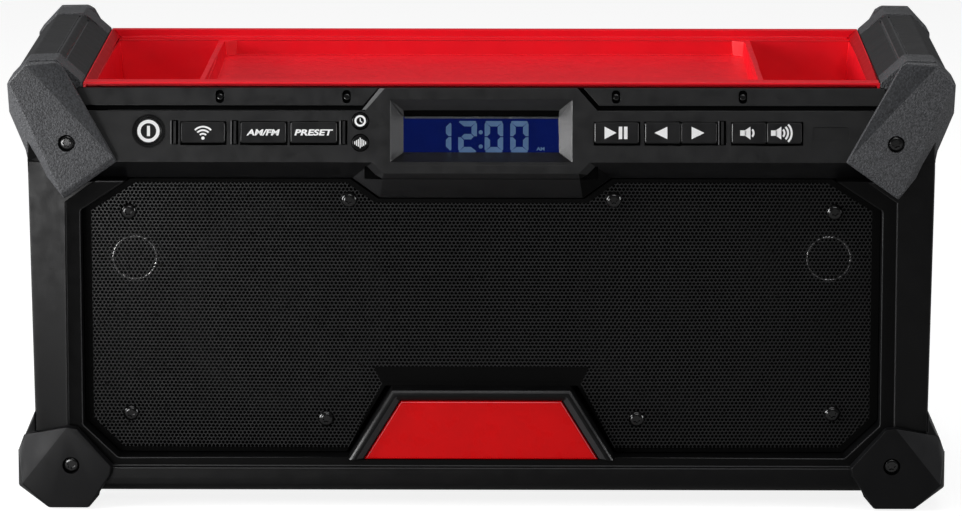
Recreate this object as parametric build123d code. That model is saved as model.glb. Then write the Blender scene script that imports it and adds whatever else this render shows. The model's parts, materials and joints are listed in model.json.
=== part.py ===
from build123d import *
import os
from math import atan2, cos, sin, tan

# Jobsite radio. Millimetres. +X right and -Y front, seen from the front; +Z up.
# The origin is the middle of the footprint, on the surface that the feet stand on.

# Overall size, across the rubber bumpers.
WIDTH = 405.0
DEPTH = 185.0
HEIGHT = 195.5

# Housing, inside the bumpers.
BUMPER_SIDE = 8.0
BUMPER_FACE = 4.5
BUMPER_TOP = 12.2
GROUND_CLEARANCE = 6.5
WALL = 3.5
SIDE_DRAFT = 2.0
KEEL_RADIUS = 8.0
BOTTOM_CORNER = 6.5
EDGE_RADIUS = 1.2
FIT = 0.2
SEAM = 1.0
SEAM_SHADOW = 1.0

# Hand recesses under the two side handles.
SHOULDER_DROP = 45.5
SHOULDER_CHAMFER = 3.0
RECESS_DEPTH = 29.5
HANDLE_LENGTH = 128.0
HANDLE_THICKNESS = 20.0
HANDLE_EDGE = 7.4
HANDLE_FLAT = 11.6
HANDLE_INSET = 1.2
HANDLE_HEEL = 2.5
HANDLE_HEEL_IN = 4.0
HANDLE_ROUNDING = 2.0
GRIP_GROOVE = 0.8
GRIP_GROOVE_DEPTH = 0.6
GRIP_GROOVE_END = 4.0
GRIP_GROOVES = (19.0, 22.8)

# Core of each upper corner, under the bumper arm: its front view over the shoulder.
POST_FLARE = 3.0
POST_FLARE_FROM = 12.0
POST_FLARE_TO = 22.0
POST_CROWN = 6.5
POST_CROWN_OUTER = 4.0
POST_CROWN_INNER = 11.0

# Control fascia, which leans back above the speaker recess.
CHIN_HEIGHT = 8.5
FASCIA_LEAN = 4.0
FASCIA_LEAN_HEIGHT = 22.5
FASCIA_SKIN = 3.0
FASCIA_BACK = 10.5
CHIN_DEPTH = 10.0
TONGUE_HALF = 41.8
TONGUE_DROP = 4.7
TONGUE_ROOT_HALF = 43.6
TONGUE_ROOT_DROP = 8.7
TONGUE_SLOPE = 12.0
RAIL_HEIGHT = 7.5
RAIL_GROOVE = 2.2
RAIL_END_HALF = 43.8
RAIL_END_SLOPE = 6.7
RAIL_THICKNESS = 2.0
RAIL_SCREWS_X = (57.7, 112.0)
RAIL_SLOT = (3.6, 5.6)
RAIL_SCREW_HEAD = 1.0
RAIL_SCREW_SHANK = 1.0
RAIL_SCREW_REACH = 2.0
RAIL_POCKET_SHIFT = 1.2

# Display window.
WINDOW_HALF = 39.0
WINDOW_SILL = 1.0
WINDOW_DROP = 5.0
GLASS_HALF = 33.3
GLASS_RISE = 2.1
GLASS_DROP = 12.3
WINDOW_DEPTH = 7.0
GLASS_MARGIN = 2.0
LENS_THICKNESS = 1.5
LCD_THICKNESS = 3.0

# Keys: the bar keys as (left x, right x), the round ones as (x, rise over the row, radius).
KEY_ROW_DROP = 18.9
KEY_HEIGHT = 8.8
KEY_PROUD = 0.9
KEY_CORNER = 0.9
KEY_CLEARANCE = 0.15
KEY_FLANGE = 0.6
KEY_EDGE = 0.3
KEY_FLANGE_THICKNESS = 1.0
KEY_TRAVEL = 1.0
BAR_KEYS = {
    "wireless_button": (-128.5, -109.8),
    "band_button": (-103.0, -83.7),
    "preset_button": (-81.6, -61.8),
    "play_pause_button": (48.6, 67.4),
    "previous_button": (70.2, 85.3),
    "next_button": (85.6, 100.8),
    "volume_down_button": (107.3, 122.0),
    "volume_up_button": (122.3, 137.1),
}
ROUND_KEYS = {
    "power_button": (-142.5, 0.5, 5.6),
    "clock_button": (-51.8, 4.9, 3.4),
    "equalizer_button": (-51.8, -4.4, 3.4),
}
SEPARATORS_X = (-131.4, -105.6, -58.9, 103.2)
SEPARATOR_SIZE = (2.4, 10.5)
MARK_ROUNDING = 0.9
BLANK_PLATE_X = (141.8, 157.6)
BLANK_PLATE_RISE = (-3.1, 2.5)
SHALLOW = 0.6
MEMBRANE_GAP = 0.3
MEMBRANE_THICKNESS = 1.2
BOARD_THICKNESS = 1.5
BOARD_MARGIN_LEFT = 3.9
BOARD_MARGIN_RIGHT = 3.4
BOARD_DOWN = 8.6
BOARD_UP = 8.9
BOARD_INNER_HALF = 46.0
BRIDGE_WIDTH = 4.0
BRIDGE_DROP = 6.9

# Speaker recess in the front: an outline with its corners cut off.
FRAME_BORDER = 16.2
FRAME_STEP = 6.7
FRAME_STEP_DEPTH = 2.0
RECESS_MARGIN = 6.2
RECESS_HEAD = 6.6
RECESS_BOTTOM = 22.0
RECESS_CORNER_TOP = (19.9, 13.1)
RECESS_CORNER_BOTTOM = (15.0, 14.4)
BAFFLE_FRONT = 16.0
BAFFLE_THICKNESS = 4.0
BAFFLE_MARGIN = 6.0

# Perforated sheet grille, pressed into three flat fields with a turned-back rim.
GRILLE_SHEET = 1.2
GRILLE_EDGE_Y = 12.4
GRILLE_CROWN_Y = 10.0
GRILLE_GAP = 0.4
GRILLE_CORNER_GAP = 1.2
GRILLE_TURN = 1.0
GRILLE_SCREW_INSET = 19.9
GRILLE_SCREW_BESIDE_TONGUE = 13.4
GRILLE_SCREW_BESIDE_BADGE = 9.7
GRILLE_SCREW_DROPS = (14.7, 9.4)
GRILLE_SCREW_RISES = (17.6, 15.4)
SCREW_HEAD = 3.5
SCREW_HEAD_RISE = 1.9
SCREW_HEAD_TAPER = 28.0
SCREW_SHANK = 1.5
SCREW_BORE_GAP = 0.1

# Badge in its raised frame at the foot of the recess.
BADGE_SINK = 0.8
BADGE_HEIGHT = 25.9
BADGE_HALF_LOW = 50.7
BADGE_HALF_HIGH = 34.8
BADGE_FRAME = 5.0
BADGE_FRAME_SIDE = 6.9
BADGE_THICKNESS = 2.0
BADGE_RECESS = 1.5
BADGE_RIM = 1.4

# Tool tray on top.
TRAY_SIDE_GAP = 2.4
TRAY_RIM_HEIGHT = 2.4
TRAY_SETBACK = 6.0
TRAY_WALL = 2.4
TRAY_FRONT_SETBACK = 13.4
TRAY_REAR_SETBACK = 12.0
TRAY_RIM_SIDE = 3.7
TRAY_DEPTH = 8.9
TRAY_POCKET_DEPTH = 32.9
TRAY_DRAFT = 3.0
TRAY_POCKET_WIDTH = 46.9
TRAY_DIVIDER_DROP = 4.7
TRAY_LEDGE = 3.2
TRAY_LEDGE_WIDTH = 1.5
TRAY_LIP = 0.8
TRAY_GUSSET = 6.0

# Loudspeakers.
WOOFER_MARGIN = 14.7
WOOFER_RISE = 3.3
SPEAKER_PITCH = 64.0
WOOFER_RIM = 5.0
WOOFER_DEPTH = 30.0
BASKET_WALL = 1.5
BASKET_BACK_RADIUS = 26.0
MAGNET_RADIUS = 31.0
MAGNET_THICKNESS = 16.0
CONE_NECK = 12.0
CONE_DEPTH = 13.0
CONE_PAPER = 1.1
DUST_CAP = 8.4
DUST_CAP_RISE = 4.0
ROLL_OUTER = 3.0
ROLL_INNER = 8.0
ROLL_RISE = 2.1
POLE_LENGTH = 6.0
POLE_GAP = 1.0
MAGNET_EDGE = 2.0
TWEETER_INSET = 22.1
TWEETER_DROP = 35.4
TWEETER_RADIUS = 12.5
TWEETER_DOME = 8.5
TWEETER_DEPTH = 14.0
TWEETER_CUP = 10.0
TWEETER_LIP = 0.8
DOME_SINK = 0.9
DOME_FOOT = 2.4

# Battery bay and slide-on pack at the rear.
BAY_HALF = 56.0
BAY_FLOOR = 12.0
BAY_DROP = 17.3
BAY_DEPTH = 66.0
BAY_WALL = 3.0
PACK_HALF = 38.0
PACK_HEIGHT = 105.0
PACK_DEPTH = 58.0
PACK_FRONT_GAP = 2.5
PACK_EDGE = 5.0
SHOE_HALF = 26.0
SHOE_DEPTH = 11.0
SHOE_NECK_HALF = 20.0
SHOE_LIP = 4.0
SHOE_LOW = 38.0
SHOE_HEIGHT = 60.0
SHOE_CLEARANCE = 0.4
BLADES_X = (-13.5, -4.5, 4.5, 13.5)
BLADE_THICKNESS = 0.8
BLADE_SLOT = 2.4
BLADE_DEPTH = 5.0
BLADE_SHORT = 1.0
BLADE_TOP = 30.0
GRIP_LINE_FROM = 14.0
GRIP_LINE_WIDTH = 4.0
GRIP_LINE_DEPTH = 1.5
LATCH_HEIGHT = 24.0
LATCH_WIDTH = 16.0
LATCH_PROUD = 2.5
LATCH_TRAVEL = 2.0
LATCH_Z = 44.0
LATCH_LENGTH = 6.0
LATCH_EDGE = 1.2
LATCH_PLACE = 0.62
LATCH_CLEARANCE = 0.25

# Socket compartment and its flap at the rear.
PORT_INSET = 72.5
PORT_HALF = 27.0
PORT_DROP = 10.0
PORT_HEIGHT = 44.0
PORT_DEPTH = 12.0
PORT_WALL = 2.5
FLAP_THICKNESS = 2.8
FLAP_CLEARANCE = 0.5
FLAP_PULL = (18.0, 5.0)
HINGE_RADIUS = 3.2
HINGE_PIN = 1.0
HINGE_RUNNING = 0.05
PIN_ENGAGEMENT = 2.0
USB_OPENING = (12.0, 4.5)
USB_SHELL = 0.6
USB_TONGUE = 1.6
AUX_RADIUS = 1.75
AUX_NUT = 3.6
DC_RADIUS = 2.75
DC_BODY = 5.0
DC_PIN = 1.0
SOCKET_DEPTH = 14.0
SOCKET_PITCH = 16.0
SOCKET_RISE = 16.0
AMP_THICKNESS = 1.6

# Facets of a bumper arm, as (inward, back, down) and (inward, down) from the upper corner.
ARM_LAP = 0.5
ARM_WRAP_FROM = 10.0
ARM_NOSE = (
    (0.9, 0.0, 9.0),
    (8.2, 0.0, 1.1),
    (45.2, 0.0, 41.0),
    (22.7, 0.0, 57.0),
    (0.1, 1.2, 9.0),
    (8.2, 1.0, 0.4),
    (20.6, 2.6, 0.0),
    (23.5, 2.6, 1.7),
    (46.4, 1.8, 43.2),
    (23.9, 1.8, 59.2),
)
ARM_SEAT = ((46.4, 43.2), (23.9, 59.2), (23.5, 1.7), (20.6, 0.0), (8.2, 0.4))
ARM_SIDE = ((6.8, 39.5), (0.0, 22.9), (0.0, 9.0))

# Facets of a foot, as (inward, up) from the lower corner: its face, its seat and its wrap.
FOOT_FACE = (
    (23.8, 36.5),
    (4.0, 11.5),
    (15.5, 1.0),
    (32.5, 1.0),
    (37.0, 7.8),
    (42.0, 15.4),
    (42.6, 18.9),
    (27.9, 35.7),
)
FOOT_SEAT = (
    (10.6, 33.5),
    (5.5, 32.4),
    (2.2, 25.3),
    (2.2, 9.9),
    (15.0, 0.0),
    (32.5, 0.0),
    (37.5, 7.3),
    (42.7, 15.0),
    (43.3, 19.1),
    (27.8, 36.2),
    (23.8, 36.6),
)
FOOT_WRAP = ((9.6, 42.5), (2.2, 25.3), (2.2, 9.9), (15.0, 0.0), (32.5, 0.0), (37.0, 6.5), (37.0, 25.0))

# Screws.
BUMPER_SCREW_DOWN = (25.2, 34.9)
FOOT_SCREW_UP = (25.2, 19.6)
BUMPER_HEAD = 3.6
BUMPER_HEAD_THICKNESS = 2.4
BUMPER_SHANK = 2.0
BUMPER_SINK = 1.2
BUMPER_SHANK_LENGTH = 14.0
CASE_SCREW_INSET = 17.3
CASE_SCREW_DROP = 22.0
CASE_SCREW_MIDDLE = 62.0
CASE_SCREW_BOTTOM = (88.0, 15.6)
CASE_BOSS = 6.0
CASE_WELL = 4.0
CASE_WELL_END = 30.0
CASE_SHANK = 1.8
CASE_SHANK_LENGTH = 44.0
CASE_HEAD_RISE = 3.0
DRIVE_RADIUS = 1.6
DRIVE_DEPTH = 1.2

# Worked out from the sizes above.
HALF = WIDTH / 2
FRONT = -DEPTH / 2
BODY_HALF = HALF - BUMPER_SIDE
BODY_FRONT = FRONT + BUMPER_FACE
BODY_TOP = HEIGHT - BUMPER_TOP
SHOULDER_X = HALF - RECESS_DEPTH
SHOULDER_HEIGHT = HEIGHT - SHOULDER_DROP
RECESS_TOP = SHOULDER_HEIGHT - RECESS_HEAD
FASCIA_BOTTOM = RECESS_TOP + CHIN_HEIGHT
POST_END = HANDLE_LENGTH / 2
LEAN = atan2(FASCIA_LEAN, FASCIA_LEAN_HEIGHT)
WINDOW_LOW = FASCIA_BOTTOM - WINDOW_SILL
WINDOW_HIGH = BODY_TOP - WINDOW_DROP
GLASS_LOW = FASCIA_BOTTOM + GLASS_RISE
GLASS_HIGH = BODY_TOP - GLASS_DROP
KEY_ROW = BODY_TOP - KEY_ROW_DROP
BOARD_LOW = KEY_ROW - BOARD_DOWN
BOARD_HIGH = KEY_ROW + BOARD_UP
BOARD_LEFT = ROUND_KEYS["power_button"][0] - ROUND_KEYS["power_button"][2] - BOARD_MARGIN_LEFT
BOARD_RIGHT = BAR_KEYS["volume_up_button"][1] + BOARD_MARGIN_RIGHT
BRIDGE_LOW = FASCIA_BOTTOM - BRIDGE_DROP
CHIN_Y = BODY_FRONT + CHIN_DEPTH
BAFFLE_Y = BODY_FRONT + BAFFLE_FRONT
BAFFLE_TOP = SHOULDER_HEIGHT - WALL - FIT
RECESS_HALF = BODY_HALF - FRAME_BORDER - RECESS_MARGIN
BADGE_LOW = RECESS_BOTTOM - BADGE_SINK
BADGE_HIGH = BADGE_LOW + BADGE_HEIGHT
GRILLE_CORNER = RECESS_HALF - RECESS_CORNER_TOP[0] - GRILLE_CORNER_GAP
GRILLE_SCREWS = (
    (RECESS_HALF - GRILLE_SCREW_INSET, RECESS_TOP - GRILLE_SCREW_DROPS[0]),
    (TONGUE_ROOT_HALF + GRILLE_SCREW_BESIDE_TONGUE, RECESS_TOP - GRILLE_SCREW_DROPS[1]),
    (RECESS_HALF - GRILLE_SCREW_INSET, RECESS_BOTTOM + GRILLE_SCREW_RISES[0]),
    (
        BADGE_HALF_LOW + BADGE_FRAME_SIDE + GRILLE_SCREW_BESIDE_BADGE,
        RECESS_BOTTOM + GRILLE_SCREW_RISES[1],
    ),
)
TWEETER_X = RECESS_HALF - TWEETER_INSET
TWEETER_Z = RECESS_TOP - TWEETER_DROP
WOOFER_X = TWEETER_X - SPEAKER_PITCH
WOOFER_Z = (RECESS_TOP + RECESS_BOTTOM) / 2 + WOOFER_RISE
WOOFER_RADIUS = (RECESS_TOP - RECESS_BOTTOM) / 2 - WOOFER_MARGIN
TRAY_HALF = SHOULDER_X - TRAY_SIDE_GAP
TRAY_SIDE_X = TRAY_HALF - TRAY_RIM_SIDE
TRAY_DIVIDER_X = TRAY_SIDE_X - TRAY_POCKET_WIDTH
TRAY_RIM_REACH = -BODY_FRONT - TRAY_SETBACK
TRAY_FRONT_Y = BODY_FRONT + TRAY_FRONT_SETBACK
TRAY_REAR_Y = -BODY_FRONT - TRAY_REAR_SETBACK
TRAY_FLOOR = BODY_TOP - TRAY_DEPTH
TRAY_POCKET_FLOOR = BODY_TOP - TRAY_POCKET_DEPTH
BAY_TOP = BODY_TOP - BAY_DROP
PORT_X = BODY_HALF - PORT_INSET
PORT_HIGH = SHOULDER_HEIGHT - PORT_DROP
PORT_LOW = PORT_HIGH - PORT_HEIGHT
SOCKET_Z = PORT_LOW + SOCKET_RISE
CASE_SCREWS = (
    (HALF - CASE_SCREW_INSET, SHOULDER_HEIGHT - CASE_SCREW_DROP),
    (HALF - CASE_SCREW_INSET, CASE_SCREW_MIDDLE),
    CASE_SCREW_BOTTOM,
)
FACE = Plane(
    origin=(0, BODY_FRONT, FASCIA_BOTTOM),
    x_dir=(1, 0, 0),
    z_dir=(0, -cos(LEAN), sin(LEAN)),
)


# ---------------------------------------------------------------- drawing aids
def along_y(outline, y_front, y_back):
    """Prism of an (x, z) outline between two planes across the depth."""
    face = Plane.XZ.offset(-y_back) * Polygon(*outline)
    return extrude(face, amount=y_back - y_front, dir=(0, -1, 0))


def along_x(outline, x_low, x_high):
    """Prism of a (y, z) outline between two planes across the width."""
    face = Plane.YZ.offset(x_low) * Polygon(*outline)
    return extrude(face, amount=x_high - x_low, dir=(1, 0, 0))


def block(x_low, x_high, y_low, y_high, z_low, z_high):
    """Plain block between its low and high faces."""
    centre = Pos((x_low + x_high) / 2, (y_low + y_high) / 2, (z_low + z_high) / 2)
    return centre * Box(x_high - x_low, y_high - y_low, z_high - z_low)


def tapered(x_low, x_high, y_low, y_high, z_low, z_high, draft):
    """Block whose four sides lean in by the draft from its top to its bottom."""
    top = [(x, y, z_high) for x in (x_low, x_high) for y in (y_low, y_high)]
    bottom = [
        (x, y, z_low)
        for x in (x_low + draft, x_high - draft)
        for y in (y_low + draft, y_high - draft)
    ]
    return ConvexPolyhedron(top + bottom)


def rod_y(x, z, radius, y_front, y_back):
    """Round bar or bore along the depth."""
    return extrude(Plane.XZ.offset(-y_back) * Pos(x, z) * Circle(radius), y_back - y_front)


def mirrored(shape):
    """The same piece on the other side, left for right."""
    return mirror(shape, Plane.YZ)


def turned_back(shape):
    """The same piece at the rear, front for back."""
    return mirror(shape, Plane.XZ)


def lean_y(z):
    """Depth of the fascia's leaning face at a height."""
    return BODY_FRONT + (z - FASCIA_BOTTOM) * tan(LEAN)


def up(z):
    """Distance up the leaning face to a height."""
    return (z - FASCIA_BOTTOM) / cos(LEAN)


def on_face(sketch, low, high):
    """Prism of a sketch drawn on the leaning face, between two heights over it."""
    return extrude(FACE.offset(low) * sketch, amount=high - low, dir=FACE.z_dir)


def face_outline(outline, low, high):
    """Prism of an (x, z) outline on the leaning face."""
    return on_face(Polygon(*[(x, up(z)) for x, z in outline]), low, high)


def face_slot(x_low, x_high, z_low, z_high, low, high, corner):
    """Prism of a rectangle with round corners on the leaning face."""
    flat = Pos((x_low + x_high) / 2, up((z_low + z_high) / 2))
    size = (x_high - x_low, (z_high - z_low) / cos(LEAN))
    return on_face(flat * RectangleRounded(*size, corner), low, high)


def face_round(x, z, radius, low, high):
    """Round prism on the leaning face."""
    return on_face(Pos(x, up(z)) * Circle(radius), low, high)


def whole(half):
    """Outline made of a right half, from bottom to top, and its mirror image."""
    return [*half, *[(-x, z) for x, z in reversed(half)]]


# ------------------------------------------------------------------- housing
def housing_outline(inset):
    """Front view of the housing, with the hand recesses cut into its shoulders."""
    side = BODY_HALF - SIDE_DRAFT
    return whole(
        [
            (side - BOTTOM_CORNER, GROUND_CLEARANCE + inset),
            (side - inset, GROUND_CLEARANCE + BOTTOM_CORNER + inset / 2),
            (BODY_HALF - inset, SHOULDER_HEIGHT - SHOULDER_CHAMFER - inset / 2),
            (BODY_HALF - SHOULDER_CHAMFER - inset / 2, SHOULDER_HEIGHT - inset),
            (SHOULDER_X - inset, SHOULDER_HEIGHT - inset),
            (SHOULDER_X - inset, BODY_TOP),
        ]
    )


def side_view(top):
    """Housing seen from the side and drawn across its width: round keel, leaning upper half."""
    front = [
        (BODY_FRONT, GROUND_CLEARANCE),
        (BODY_FRONT, FASCIA_BOTTOM),
        (lean_y(top), top),
    ]
    sketch = Polygon(*front, *[(-y, z) for y, z in reversed(front)])
    sketch = fillet(sketch.vertices().group_by(Axis.Y)[0], KEEL_RADIUS)
    return extrude(Plane.YZ.offset(-HALF) * sketch, amount=WIDTH, dir=(1, 0, 0))


def post_outline():
    """Front view of the core that stands under a bumper arm and ends a handle."""
    return [
        (SHOULDER_X - WALL, SHOULDER_HEIGHT - WALL),
        (BODY_HALF, SHOULDER_HEIGHT - SHOULDER_CHAMFER),
        (BODY_HALF, SHOULDER_HEIGHT + POST_FLARE_FROM),
        (BODY_HALF + POST_FLARE, SHOULDER_HEIGHT + POST_FLARE_TO),
        (BODY_HALF + POST_FLARE, BODY_TOP),
        (BODY_HALF - POST_CROWN_OUTER, BODY_TOP + POST_CROWN),
        (BODY_HALF - POST_CROWN_INNER, BODY_TOP + POST_CROWN),
        (SHOULDER_X, BODY_TOP),
        (SHOULDER_X - WALL, BODY_TOP),
    ]


def posts(y_front, y_back):
    """Both front posts, trimmed to the leaning face."""
    post = along_y(post_outline(), y_front, y_back) & side_view(HEIGHT)
    return post + mirrored(post)


def housing_block():
    """Solid form of the closed housing, posts included."""
    body = along_y(housing_outline(0), FRONT, -FRONT) & side_view(BODY_TOP)
    front_posts = posts(FRONT, -POST_END)
    return body + front_posts + turned_back(front_posts)


def recess_outline(grow):
    """Front view of the speaker recess, with its four corners cut off."""
    half = RECESS_HALF + grow
    top = RECESS_TOP + grow
    low = RECESS_BOTTOM - grow
    cut = grow * 0.4
    return whole(
        [
            (half - RECESS_CORNER_BOTTOM[0] - cut, low),
            (half, low + RECESS_CORNER_BOTTOM[1] + cut),
            (half, top - RECESS_CORNER_TOP[1] - cut),
            (half - RECESS_CORNER_TOP[0] - cut, top),
        ]
    )


def fascia_block():
    """Solid form of the control fascia with its chin and the tongue below the display."""
    root = RECESS_TOP - TONGUE_ROOT_DROP
    low = FASCIA_BOTTOM - TONGUE_DROP
    notch = TONGUE_HALF + TONGUE_DROP
    band = along_x(
        [
            (BODY_FRONT, FASCIA_BOTTOM),
            (CHIN_Y, RECESS_TOP),
            (BAFFLE_Y, RECESS_TOP),
            (BAFFLE_Y, BAFFLE_TOP),
            (BODY_FRONT + FASCIA_BACK, SHOULDER_HEIGHT),
            (BODY_FRONT + FASCIA_BACK, BODY_TOP),
            (lean_y(BODY_TOP), BODY_TOP),
        ],
        -SHOULDER_X,
        SHOULDER_X,
    )
    tongue = [
        (notch, BODY_FRONT, FASCIA_BOTTOM),
        (TONGUE_HALF, lean_y(low), low),
        (TONGUE_ROOT_HALF + TONGUE_SLOPE, CHIN_Y, RECESS_TOP),
        (TONGUE_ROOT_HALF + TONGUE_SLOPE, BAFFLE_Y, RECESS_TOP),
        (TONGUE_ROOT_HALF, CHIN_Y, root),
        (TONGUE_ROOT_HALF, BAFFLE_Y, root),
        (notch, BAFFLE_Y, BAFFLE_TOP),
    ]
    both = [*tongue, *[(-x, y, z) for x, y, z in tongue]]
    return band + ConvexPolyhedron(both)


def badge_outline(grow, side, foot=0.0):
    """Front view of the badge, or of an outline larger than it."""
    slope = (BADGE_HALF_LOW - BADGE_HALF_HIGH) / (BADGE_HIGH - BADGE_LOW)
    high = BADGE_HIGH + grow
    half_high = BADGE_HALF_HIGH + side - grow * slope
    half_low = BADGE_HALF_LOW + side + foot * slope
    return whole([(half_low, BADGE_LOW - foot), (half_high, high)])


def case_bosses(radius, y_front, y_back):
    """Round bosses, wells or bores on the lines of the case screws."""
    rods = [rod_y(x, z, radius, y_front, y_back) for x, z in CASE_SCREWS]
    return rods + [mirrored(rod) for rod in rods]


def bumper_screw_places():
    """(x, z) of the screws through the right-hand bumper arm and foot."""
    arm = (HALF - BUMPER_SCREW_DOWN[0], HEIGHT - BUMPER_SCREW_DOWN[1])
    foot = (HALF - FOOT_SCREW_UP[0], FOOT_SCREW_UP[1])
    return (arm, foot)


def bumper_bores(radius, y_front, y_back):
    """Bores for the screws of both front bumpers on each side."""
    rods = [rod_y(x, z, radius, y_front, y_back) for x, z in bumper_screw_places()]
    return rods + [mirrored(rod) for rod in rods]


def hollow():
    """Space inside the housing, open at the top for the tray."""
    outline = housing_outline(WALL)
    outline[5] = (SHOULDER_X - WALL, BODY_TOP + 1)
    outline[6] = (WALL - SHOULDER_X, BODY_TOP + 1)
    return along_y(outline, BAFFLE_Y, -BODY_FRONT - WALL)


def front_frame():
    """Front half of the housing: border, recess walls, badge frame and side walls."""
    shell = housing_block() & block(-HALF, HALF, FRONT, -SEAM / 2, 0, HEIGHT)
    cavity = hollow()
    frame = shell - cavity
    bosses = case_bosses(CASE_BOSS, -CASE_WELL_END + CASE_BOSS, -SEAM / 2)
    frame += [boss & cavity for boss in bosses]
    frame -= along_y(recess_outline(0), FRONT, BAFFLE_Y)
    step = along_y(recess_outline(FRAME_STEP), FRONT, BODY_FRONT + FRAME_STEP_DEPTH)
    frame -= step - block(-HALF, HALF, FRONT, 0, 0, GROUND_CLEARANCE + KEEL_RADIUS + WALL)
    frame += badge_frame()
    frame -= badge_seat()
    frame -= block(-SHOULDER_X, SHOULDER_X, FRONT, BAFFLE_Y, RECESS_TOP, HEIGHT)
    frame -= fascia_block()
    shank = CASE_SHANK + SCREW_BORE_GAP
    frame -= case_bosses(shank, CASE_WELL_END - CASE_SHANK_LENGTH, 0)
    bore = BUMPER_SHANK + SCREW_BORE_GAP
    return frame - bumper_bores(bore, FRONT, FRONT + BUMPER_FACE + BUMPER_SHANK_LENGTH)


def badge_frame():
    """Raised frame around the badge."""
    crest = along_y(badge_outline(BADGE_FRAME, BADGE_FRAME_SIDE), BODY_FRONT, BAFFLE_Y)
    front_edges = crest.faces().sort_by(Axis.Y)[0].edges()
    return chamfer(front_edges.sort_by(Axis.Z)[1:], EDGE_RADIUS)


def badge_seat():
    """Sloping well and flat pocket that the badge plate drops into."""
    outer = badge_outline(BADGE_FRAME - BADGE_RIM, BADGE_FRAME_SIDE - BADGE_RIM)
    inner = badge_outline(FIT, FIT, FIT)
    floor = BODY_FRONT + BADGE_RECESS
    well = ConvexPolyhedron(
        [*[(x, BODY_FRONT - 1, z) for x, z in outer], *[(x, floor, z) for x, z in inner]]
    )
    return well + along_y(inner, BODY_FRONT - 1, floor + BADGE_THICKNESS)


def badge_plate():
    """Bare trapezoid badge plate with a bevelled front edge."""
    floor = BODY_FRONT + BADGE_RECESS
    plate = along_y(badge_outline(0, 0), floor, floor + BADGE_THICKNESS)
    return chamfer(plate.faces().sort_by(Axis.Y)[0].edges(), BADGE_THICKNESS / 3)


def rear_housing():
    """Rear half of the housing, with the battery bay, socket well and screw wells."""
    shell = housing_block() & block(-HALF, HALF, SEAM / 2, -FRONT, 0, HEIGHT)
    cavity = hollow()
    housing = shell - cavity
    back = -BODY_FRONT
    well = case_bosses(CASE_BOSS, SEAM / 2, back - WALL)
    housing += [rod & cavity for rod in well]
    bay_low = BAY_FLOOR - BAY_WALL
    bay_front = back - BAY_DEPTH
    bay = block(
        -BAY_HALF - BAY_WALL,
        BAY_HALF + BAY_WALL,
        bay_front - BAY_WALL,
        back - WALL,
        bay_low,
        BAY_TOP + BAY_WALL,
    )
    housing += bay
    housing -= block(-BAY_HALF, BAY_HALF, bay_front, back + 1, BAY_FLOOR, BAY_TOP)
    port = block(
        PORT_X - PORT_HALF - PORT_WALL,
        PORT_X + PORT_HALF + PORT_WALL,
        back - PORT_DEPTH - PORT_WALL,
        back - WALL,
        PORT_LOW - PORT_WALL,
        PORT_HIGH + PORT_WALL,
    )
    housing += port
    housing -= port_space()
    housing -= socket_bores()
    housing -= pin_rod(HINGE_PIN + HINGE_RUNNING / 2, PIN_ENGAGEMENT + HINGE_RUNNING)
    housing -= case_bosses(CASE_WELL, CASE_WELL_END, back + 1)
    housing -= case_bosses(CASE_SHANK + SCREW_BORE_GAP, 0, CASE_WELL_END)
    bore = BUMPER_SHANK + SCREW_BORE_GAP
    bores = bumper_bores(bore, FRONT, FRONT + BUMPER_FACE + BUMPER_SHANK_LENGTH)
    return housing - [turned_back(rod) for rod in bores]


def housing_gasket():
    """Seal between the two halves, sunk a little so that the seam shows as a shadow."""
    half = SEAM / 2
    ring = along_y(housing_outline(SEAM_SHADOW), -half, half)
    return ring - hollow()


# --------------------------------------------------------------- fascia group
def rail_outline(gap):
    """Front view of the right-hand top rail, or of the pocket that it lies in."""
    low = BODY_TOP - RAIL_HEIGHT
    lower = low - RAIL_GROOVE * gap
    shift = RAIL_GROOVE * gap * RAIL_POCKET_SHIFT
    run = RAIL_END_SLOPE * (BODY_TOP - lower) / RAIL_HEIGHT
    return [
        (RAIL_END_HALF - shift + run, lower),
        (SHOULDER_X, lower),
        (SHOULDER_X, BODY_TOP),
        (RAIL_END_HALF - shift, BODY_TOP),
    ]


def top_rail():
    """Right-hand rail that clamps the tray's rim, with two sunk screw slots."""
    rail = face_outline(rail_outline(0), -RAIL_THICKNESS, 0)
    middle = BODY_TOP - RAIL_HEIGHT / 2
    for x in RAIL_SCREWS_X:
        half_x, half_z = RAIL_SLOT[0] / 2, RAIL_SLOT[1] / 2
        rail -= face_slot(
            x - half_x,
            x + half_x,
            middle - half_z,
            middle + half_z,
            -RAIL_THICKNESS,
            1,
            half_x * MARK_ROUNDING,
        )
    return rail


def rail_screws():
    """Four countersunk screws that lie in the rails' slots."""
    middle = BODY_TOP - RAIL_HEIGHT / 2
    head = RAIL_SLOT[0] / 2 - SCREW_BORE_GAP
    foot = -RAIL_THICKNESS - RAIL_SCREW_REACH
    screws = []
    for x in RAIL_SCREWS_X:
        screw = face_round(x, middle, head, -RAIL_THICKNESS, RAIL_SCREW_HEAD - RAIL_THICKNESS)
        screw += face_round(x, middle, RAIL_SCREW_SHANK, foot, -RAIL_THICKNESS)
        screws += [screw, mirrored(screw)]
    return screws


def key_openings(grow):
    """Prisms of the key holes through the skin, larger than the keys by a clearance."""
    low, high = KEY_ROW - KEY_HEIGHT / 2, KEY_ROW + KEY_HEIGHT / 2
    cuts = []
    for left, right in BAR_KEYS.values():
        cuts.append(
            face_slot(
                left - grow,
                right + grow,
                low - grow,
                high + grow,
                -FASCIA_SKIN - 1,
                1,
                KEY_CORNER,
            )
        )
    for x, rise, radius in ROUND_KEYS.values():
        cuts.append(face_round(x, KEY_ROW + rise, radius + grow, -FASCIA_SKIN - 1, 1))
    return cuts


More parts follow.
